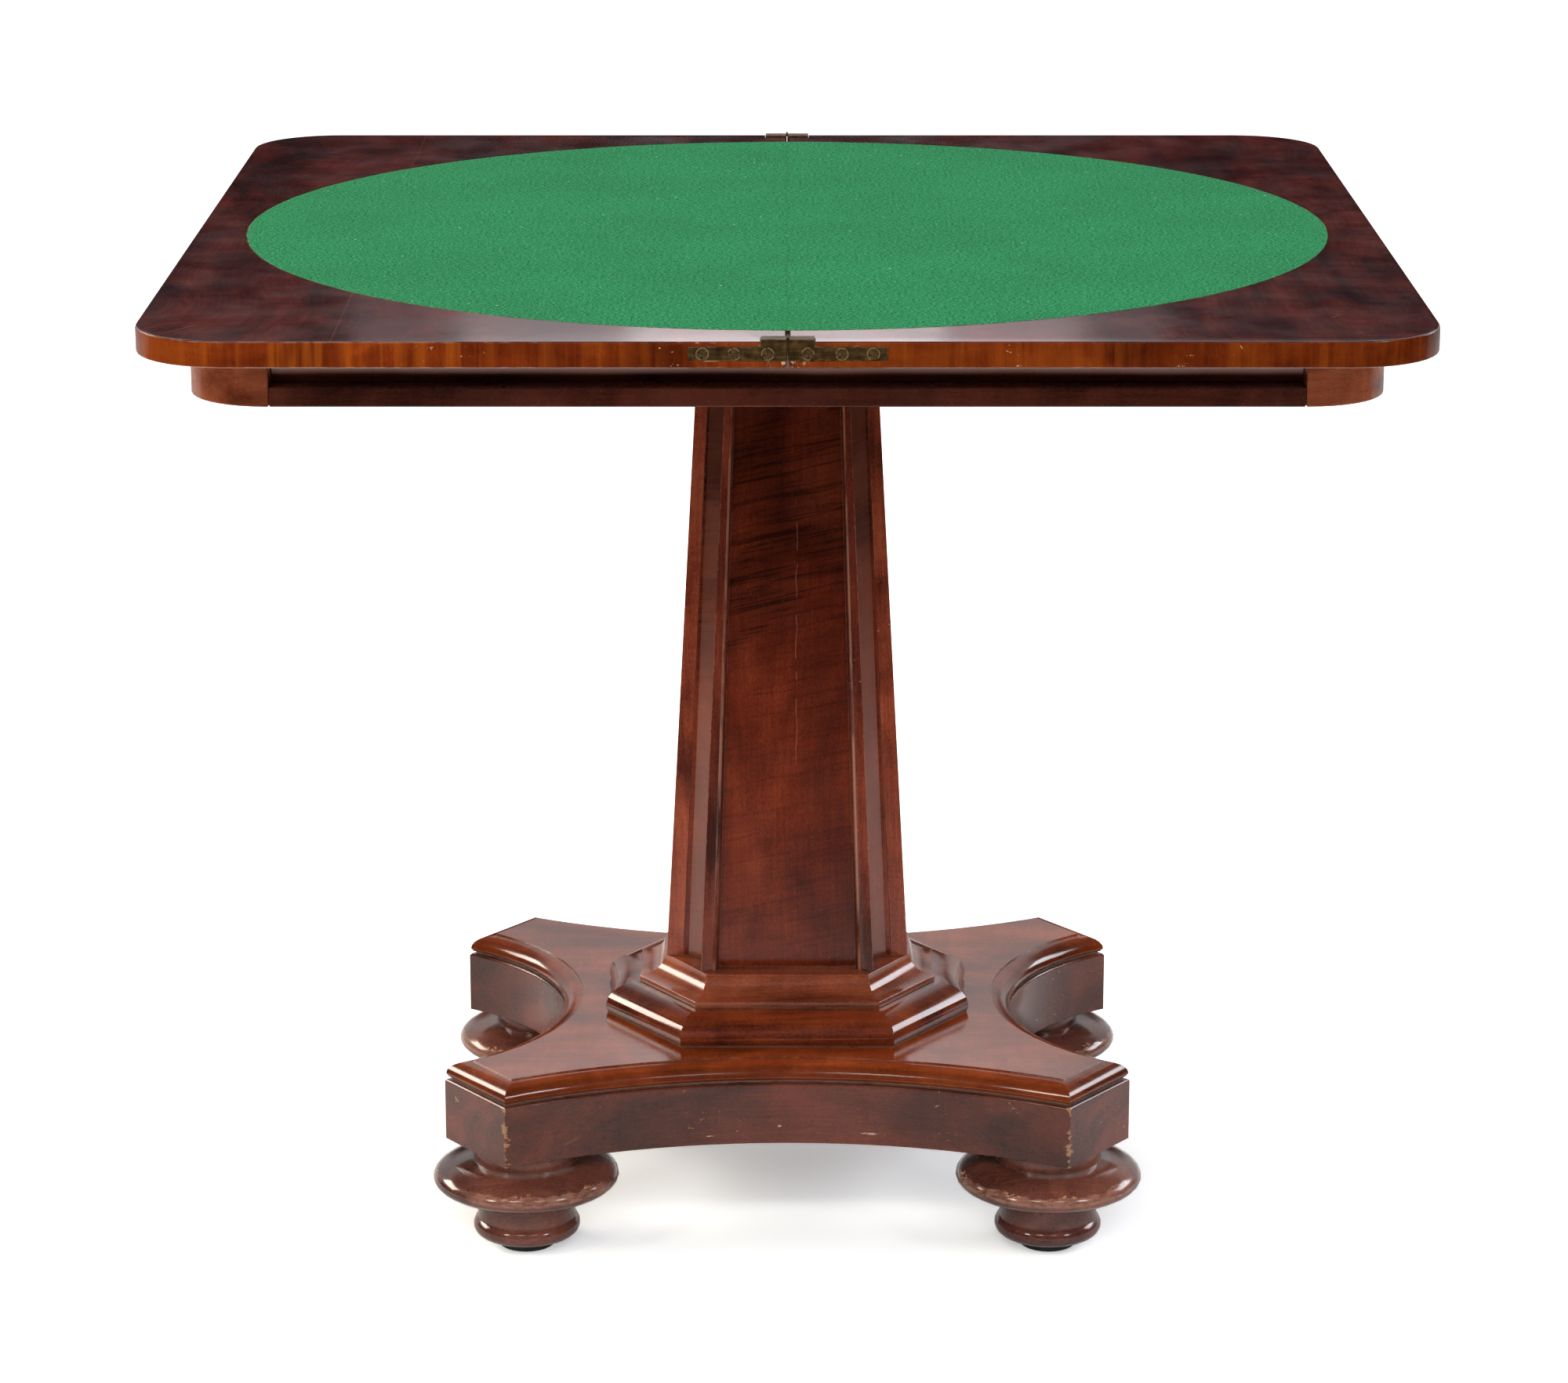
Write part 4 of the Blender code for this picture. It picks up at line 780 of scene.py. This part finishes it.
def add_screws():
    """Three screws to each strap, every slot at a turn of its own."""
    mesh = screw_mesh()
    mesh.materials.append(screw_material())
    turns = (78, 128, 22, 4, 46, 84, 12, 100, 60, 150, 35, 70)
    count = 0
    for end, sign in (("front", 1), ("back", -1)):
        for side, way in (("folding", -1), ("fixed", 1)):
            for number, (across, rise) in enumerate(SCREW_PLACES, 1):
                screw = bpy.data.objects.new(f"screw_{end}_{side}_{number}", mesh.copy())
                bpy.context.scene.collection.objects.link(screw)
                face = sign * STRAP_FACE
                screw.location = (way * across * MM, face, STRAP_MIDDLE + rise * MM)
                turned = math.radians(turns[count])
                screw.rotation_euler = (0, turned, 0 if sign > 0 else math.pi)
                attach(screw, "folding_leaf" if way < 0 else "top")
                count += 1


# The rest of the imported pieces

def dark_metal(name, colours, roughness):
    graph = Graph(name)
    grainy = graph.noise(graph.place, 260.0, 4.0, 0.65)
    colour = graph.tones(grainy, [(0.3, colours[0]), (0.7, colours[1])])
    rust = graph.ramp(graph.noise(graph.place, 60.0, 3.0), 0.55, 0.68)
    colour = graph.mix(graph.times(rust, 0.4), colour, linear(88, 52, 34))
    rough = graph.ramp(grainy, 0.3, 0.7, roughness * 0.85, roughness * 1.15)
    normal = graph.bump(grainy, 0.1 * MM, 0.5)
    return graph.finish(Base_Color=colour, Metallic=0.8, Roughness=rough, Normal=normal)


def glide_material():
    graph = Graph("glide_black")
    scuffed = graph.noise(graph.place, 300.0, 4.0, 0.7)
    colour = graph.tones(scuffed, [(0.4, linear(14, 13, 13)), (0.7, linear(40, 37, 35))])
    rough = graph.ramp(scuffed, 0.3, 0.7, 0.35, 0.6)
    normal = graph.bump(scuffed, 0.1 * MM, 0.4)
    return graph.finish(Base_Color=colour, Roughness=rough, Normal=normal)


# Width of the eased arrises, by the first word of a node's name
EASED = {"leaf": 0.9 * MM, "hinge": 0.2 * MM, "foot": 0.3 * MM, "glide": 0.3 * MM, "pivot": 0.2 * MM}
EASED_WOOD = 0.4 * MM

# How each kind of piece is finished
BLOCK_FINISH = {"roughness": 0.24, "dust_and_shade": 0.3, "wear": 0.5, "marks": 0.5, "cloud": 0.3, "band": 0.45}
STRIP_FINISH = {"roughness": 0.18, "dust_and_shade": 0.3, "wear": 0.5, "marks": 0.3, "touch": arris_wear_and_highlight}
FOOT_FINISH = {"roughness": 0.14, "dust_and_shade": 0.4, "marks": 0.5, "touch": pale_foot_band}
BOARD_FINISH = {"roughness": 0.30, "marks": 0.1, "touch": board_reflection_and_shade}
RAIL_FINISH = {"roughness": 0.26, "dust_and_shade": 0.2, "wear": 0.4, "marks": 0.3}
PINE_FINISH = {"roughness": 0.6}
COLUMN_FINISH = {
    "roughness": 0.20,
    "dust_and_shade": 0.4,
    "wear": 0.2,
    "marks": 0.15,
    "touch": column_figure_and_shade,
    "deep": 0.95,
    "cloud": 0.5,
    "band": 0.08,
}
COVE_FINISH = {"roughness": 0.16, "dust_and_shade": 0.5, "wear": 0.5, "marks": 0.15}
OVOLO_FINISH = {"roughness": 0.14, "dust_and_shade": 0.5, "wear": 0.5, "marks": 0.15}
SLAB_FINISH = {"roughness": 0.14, "dust_and_shade": 0.5, "wear": 0.5, "marks": 0.4, "touch": slab_edge}
PLINTH_FINISH = {"roughness": 0.24, "dust_and_shade": 0.5, "wear": 0.6, "marks": 0.8, "touch": knocked_corners}


def dress_wood(node, tones, turn, seed, finish, wood=None):
    dress(node, wood_material(wood or f"{node}_wood", tones, turn, seed, **finish))


def dress_all():
    dress("leaf_folding", leaf_material("veneer_left_leaf", 2.0, LEFT_SEAM))
    dress("leaf_fixed", leaf_material("veneer_right_leaf", 7.0, NO_SEAM))
    corners = [(end, side) for end in ("front", "back") for side in ("left", "right")]
    for number, (end, side) in enumerate(corners):
        dress_wood(f"corner_block_{end}_{side}", BLOCK_TONES, ALONG_X, 11.0 + number, BLOCK_FINISH)
        dress_wood(f"column_strip_{end}_{side}", STRIP_TONES, ALONG_Z, 21.0 + number, STRIP_FINISH)
        dress_wood(f"column_strip_{side}_{end}", OUTER_STRIP_TONES, ALONG_Z, 31.0 + number, STRIP_FINISH)
        dress_wood(f"foot_{end}_{side}", FOOT_TONES, ALONG_X, 41.0 + number, FOOT_FINISH)
        dress(f"glide_{end}_{side}", GLIDE)
    for number, end in enumerate(("front", "back")):
        dress_wood(f"frieze_board_{end}", DARK_TONES, ALONG_X, 51.0 + number, BOARD_FINISH)
        dress_wood(f"rail_{end}", DARK_TONES, ALONG_X, 53.0 + number, RAIL_FINISH)
    for number, side in enumerate(("left", "right")):
        dress_wood(f"frieze_end_{side}", DARK_TONES, ALONG_Y, 55.0 + number, BOARD_FINISH)
        dress_wood(f"rail_{side}", DARK_TONES, ALONG_Y, 57.0 + number, RAIL_FINISH)
        dress_wood(f"well_floor_{side}", PINE_TONES, ALONG_Y, 59.0 + number, PINE_FINISH)
    dress_wood("column_bearer", PINE_TONES, ALONG_Y, 61.0, PINE_FINISH, "bearer_wood")
    dress_wood("well_partition", PINE_TONES, ALONG_Y, 62.0, PINE_FINISH, "partition_wood")
    dress_wood("pivot_rail", PINE_TONES, ALONG_Y, 63.0, PINE_FINISH)
    dress_wood("column_shaft", COLUMN_TONES, ALONG_Z, 75.0, COLUMN_FINISH, "column_wood")
    dress_wood("socle_cove", COVE_TONES, ALONG_X, 65.0, COVE_FINISH, "cove_wood")
    dress_wood("socle_ovolo", MOULD_TONES, ALONG_X, 66.0, OVOLO_FINISH, "ovolo_wood")
    dress_wood("platform_top", SLAB_TONES, ALONG_X, 67.0, SLAB_FINISH)
    dress_wood("platform_plinth", PLINTH_TONES, ALONG_X, 68.0, PLINTH_FINISH, "plinth_wood")
    for end in ("front", "back"):
        for side in ("fixed", "folding"):
            dress(f"hinge_{end}_{side}", BRASS)
        dress(f"hinge_pin_{end}", BRASS)
    for name in ("pivot_plate", "pivot_bolt", "pivot_washer", "pivot_nut"):
        dress(name, IRON)
    for name in NODES:
        if not name.startswith("baize"):
            soften(name, EASED.get(name.split("_")[0], EASED_WOOD))


BRASS = brass_material("aged_brass", 3.0)
IRON = dark_metal("pivot_iron", (linear(46, 44, 42), linear(92, 88, 84)), 0.5)
GLIDE = glide_material()
dress_all()
add_baize()
add_screws()


# Floor, light and camera

FLOOR_COLOUR = (1.26, 1.31, 1.33, 1.0)
FLOOR_GLOW = 0.27
FRONT_GLOW = 0.22
FLOOR_LEVEL = 0.82
FAR_LEVEL = 0.04
FLOOR_HALF = 14.0


def add_floor():
    """White to the camera; to the light, pale round the table and dim far in front of it."""
    graph = Graph("studio_floor")
    path = graph.add("ShaderNodeLightPath").outputs
    x, y = graph.split(graph.place)[:2]
    wide = graph.size(x)
    round_it = graph.times(graph.ramp(y, -1.8, -0.6), graph.ramp(wide, 2.4, 1.3))
    behind = graph.ramp(graph.minus(y, graph.times(wide, 0.25)), 0.0, 0.5)
    near = graph.math("MAXIMUM", graph.math("MAXIMUM", round_it, behind), FAR_LEVEL)
    seen = graph.math("MAXIMUM", path["Is Camera Ray"], path["Is Transmission Ray"])
    mirrored = graph.times(path["Is Glossy Ray"], graph.ramp(y, -1.1, -0.40, -0.52, 0.20))
    level = graph.times(near, graph.plus(FLOOR_LEVEL, mirrored))
    colour = graph.mix(seen, graph.shade(WHITE, level), FLOOR_COLOUR)
    reach = graph.math("SQRT", graph.plus(graph.times(x, x), graph.times(y, y)))
    # The camera sees the floor glow: weakly round the table, which lifts its shadow, and white further out;
    # a band just in front of the table glows more, painted light that fades the shadow's front edge
    front_shadow_lift = graph.ramp(y, -0.13, -0.235, 0.0, FRONT_GLOW)
    glow = graph.plus(graph.ramp(reach, 0.6, 1.8, FLOOR_GLOW, 1.0), front_shadow_lift)
    graph.finish(
        Base_Color=colour,
        Roughness=0.9,
        Specular_IOR_Level=0.0,
        Emission_Color=WHITE,
        Emission_Strength=graph.times(seen, glow),
    )
    mesh = bpy.data.meshes.new("studio_floor")
    signs = ((-1, -1), (1, -1), (1, 1), (-1, 1))
    corners = [(FLOOR_HALF * across, FLOOR_HALF * along, 0) for across, along in signs]
    mesh.from_pydata(corners, [], [(0, 1, 2, 3)])
    mesh.materials.append(graph.material)
    floor = bpy.data.objects.new("studio_floor", mesh)
    bpy.context.scene.collection.objects.link(floor)


WARM = (1.0, 0.92, 0.78)
GOLD = (1.0, 0.91, 0.78)
COOL = (0.94, 0.95, 1.0)
ROSE = (1.0, 0.93, 0.93)
DEEP_ROSE = (1.0, 0.84, 0.87)
PLAIN = (1.0, 1.0, 1.0)

# Softboxes: place, height aimed at, width, height, watts, colour and whether gloss mirrors it
SOFTBOXES = {
    "left": ((-2.69, 1.09, 1.50), 0.25, 1.5, 0.8, 58, GOLD, True),
    "right": ((2.69, 1.09, 1.50), 0.25, 1.5, 0.8, 36, COOL, True),
    "front_left": ((-2.5, -2.5, 2.2), 0.3, 0.6, 0.6, 26, WARM, True),
    "front_right": ((2.5, -2.5, 2.2), 0.3, 0.6, 0.6, 20, COOL, True),
    "front": ((0.1, -3.4, 2.2), 0.4, 2.4, 1.2, 44, PLAIN, False),
    "front_low": ((-0.3, -3.4, 0.95), 0.6, 2.0, 0.4, 25, PLAIN, False),
    "top": ((0.0, 0.2, 3.4), 0.5, 2.4, 2.4, 39, PLAIN, False),
    "back": ((0.0, 3.0, 1.90), 0.75, 0.45, 1.0, 1.7, ROSE, True),
    "back_wide": ((-0.02, 3.1, 1.92), 0.75, 0.90, 1.0, 1.9, DEEP_ROSE, True),
    "back_widest": ((-0.04, 3.2, 1.94), 0.75, 1.20, 1.0, 1.1, DEEP_ROSE, True),
    "arris_left": ((-0.8, -2.8, 2.6), 0.4, 0.8, 0.3, 11, WARM, True),
    "arris_right": ((0.9, -2.8, 2.6), 0.4, 0.7, 0.3, 5, COOL, True),
}


def add_softbox(name, place, aim, width, height, power, colour, glossy):
    """A plain area light that points at a height on the table's middle line."""
    light = bpy.data.lights.new(name, "AREA")
    light.shape = "RECTANGLE"
    light.size = width
    light.size_y = height
    light.energy = power
    light.color = colour
    item = bpy.data.objects.new(name, light)
    item.location = place
    item.rotation_euler = (Vector((0, 0, aim)) - Vector(place)).to_track_quat("-Z", "Y").to_euler()
    item.visible_camera = False
    item.visible_glossy = glossy
    bpy.context.scene.collection.objects.link(item)


WALL_LEVEL = 0.80
ROOM_LEVEL = 0.10


def add_world():
    """A dim room with a pale wall high behind and pale screens behind to both sides."""
    world = bpy.data.worlds.new("studio")
    bpy.context.scene.world = world
    world.use_nodes = True
    tree = world.node_tree
    tree.nodes.clear()

    def node(kind, inputs=(), **settings):
        made = tree.nodes.new(kind)
        for key, value in settings.items():
            setattr(made, key, value)
        pairs = inputs.items() if isinstance(inputs, dict) else enumerate(inputs)
        for key, value in pairs:
            if isinstance(value, bpy.types.NodeSocket):
                tree.links.new(value, made.inputs[key])
            else:
                made.inputs[key].default_value = value
        return made.outputs

    def ramp(value, low, high, to_low=0.0, to_high=1.0):
        inputs = {0: value, 1: low, 2: high, 3: to_low, 4: to_high}
        return node("ShaderNodeMapRange", inputs, interpolation_type="SMOOTHSTEP")[0]

    def math_of(operation, first, second):
        return node("ShaderNodeMath", (first, second), operation=operation)[0]

    across, along, up = node("ShaderNodeSeparateXYZ", (node("ShaderNodeTexCoord")["Generated"],))
    aside = node("ShaderNodeMath", (across,), operation="ABSOLUTE")[0]
    behind = ramp(along, 0.15, 0.5)
    wall = math_of("MULTIPLY", ramp(up, 0.205, 0.30), ramp(up, 0.62, 0.50))
    screens = math_of("MULTIPLY", ramp(aside, 0.17, 0.32), ramp(aside, 0.85, 0.70))
    screens = math_of("MULTIPLY", screens, ramp(up, 0.40, 0.30))
    pale = math_of("MULTIPLY", math_of("MAXIMUM", wall, screens), behind)
    room = math_of("MULTIPLY", ramp(up, 0.25, 0.6), ROOM_LEVEL)
    level = math_of("ADD", math_of("MULTIPLY", pale, WALL_LEVEL), room)
    path = node("ShaderNodeLightPath")
    seen = math_of("MAXIMUM", path["Is Camera Ray"], path["Is Transmission Ray"])
    shown = math_of("MAXIMUM", level, seen)
    colour = node("ShaderNodeCombineColor", (shown, shown, shown))[0]
    background = node("ShaderNodeBackground", {"Color": colour, "Strength": 1.0})[0]
    node("ShaderNodeOutputWorld", (background,))


# The camera, as it was fitted to the photograph
PHOTO_WIDTH = 2000
FOCAL_PIXELS = 6056.47
SENSOR_WIDTH = 36.0
CAMERA_PLACE = (-0.0025, -3.5424, 1.3764)
CAMERA_DIP = 0.2708


def add_camera():
    camera = bpy.data.cameras.new("camera")
    camera.sensor_width = SENSOR_WIDTH
    camera.lens = FOCAL_PIXELS * SENSOR_WIDTH / PHOTO_WIDTH
    camera.clip_end = 100.0
    item = bpy.data.objects.new("camera", camera)
    item.location = CAMERA_PLACE
    item.rotation_euler = (math.pi / 2 - CAMERA_DIP, 0, 0)
    bpy.context.scene.collection.objects.link(item)
    bpy.context.scene.camera = item


add_floor()
add_world()
for name, settings in SOFTBOXES.items():
    add_softbox(f"softbox_{name}", *settings)
add_camera()
bpy.context.scene.view_settings.view_transform = "Standard"
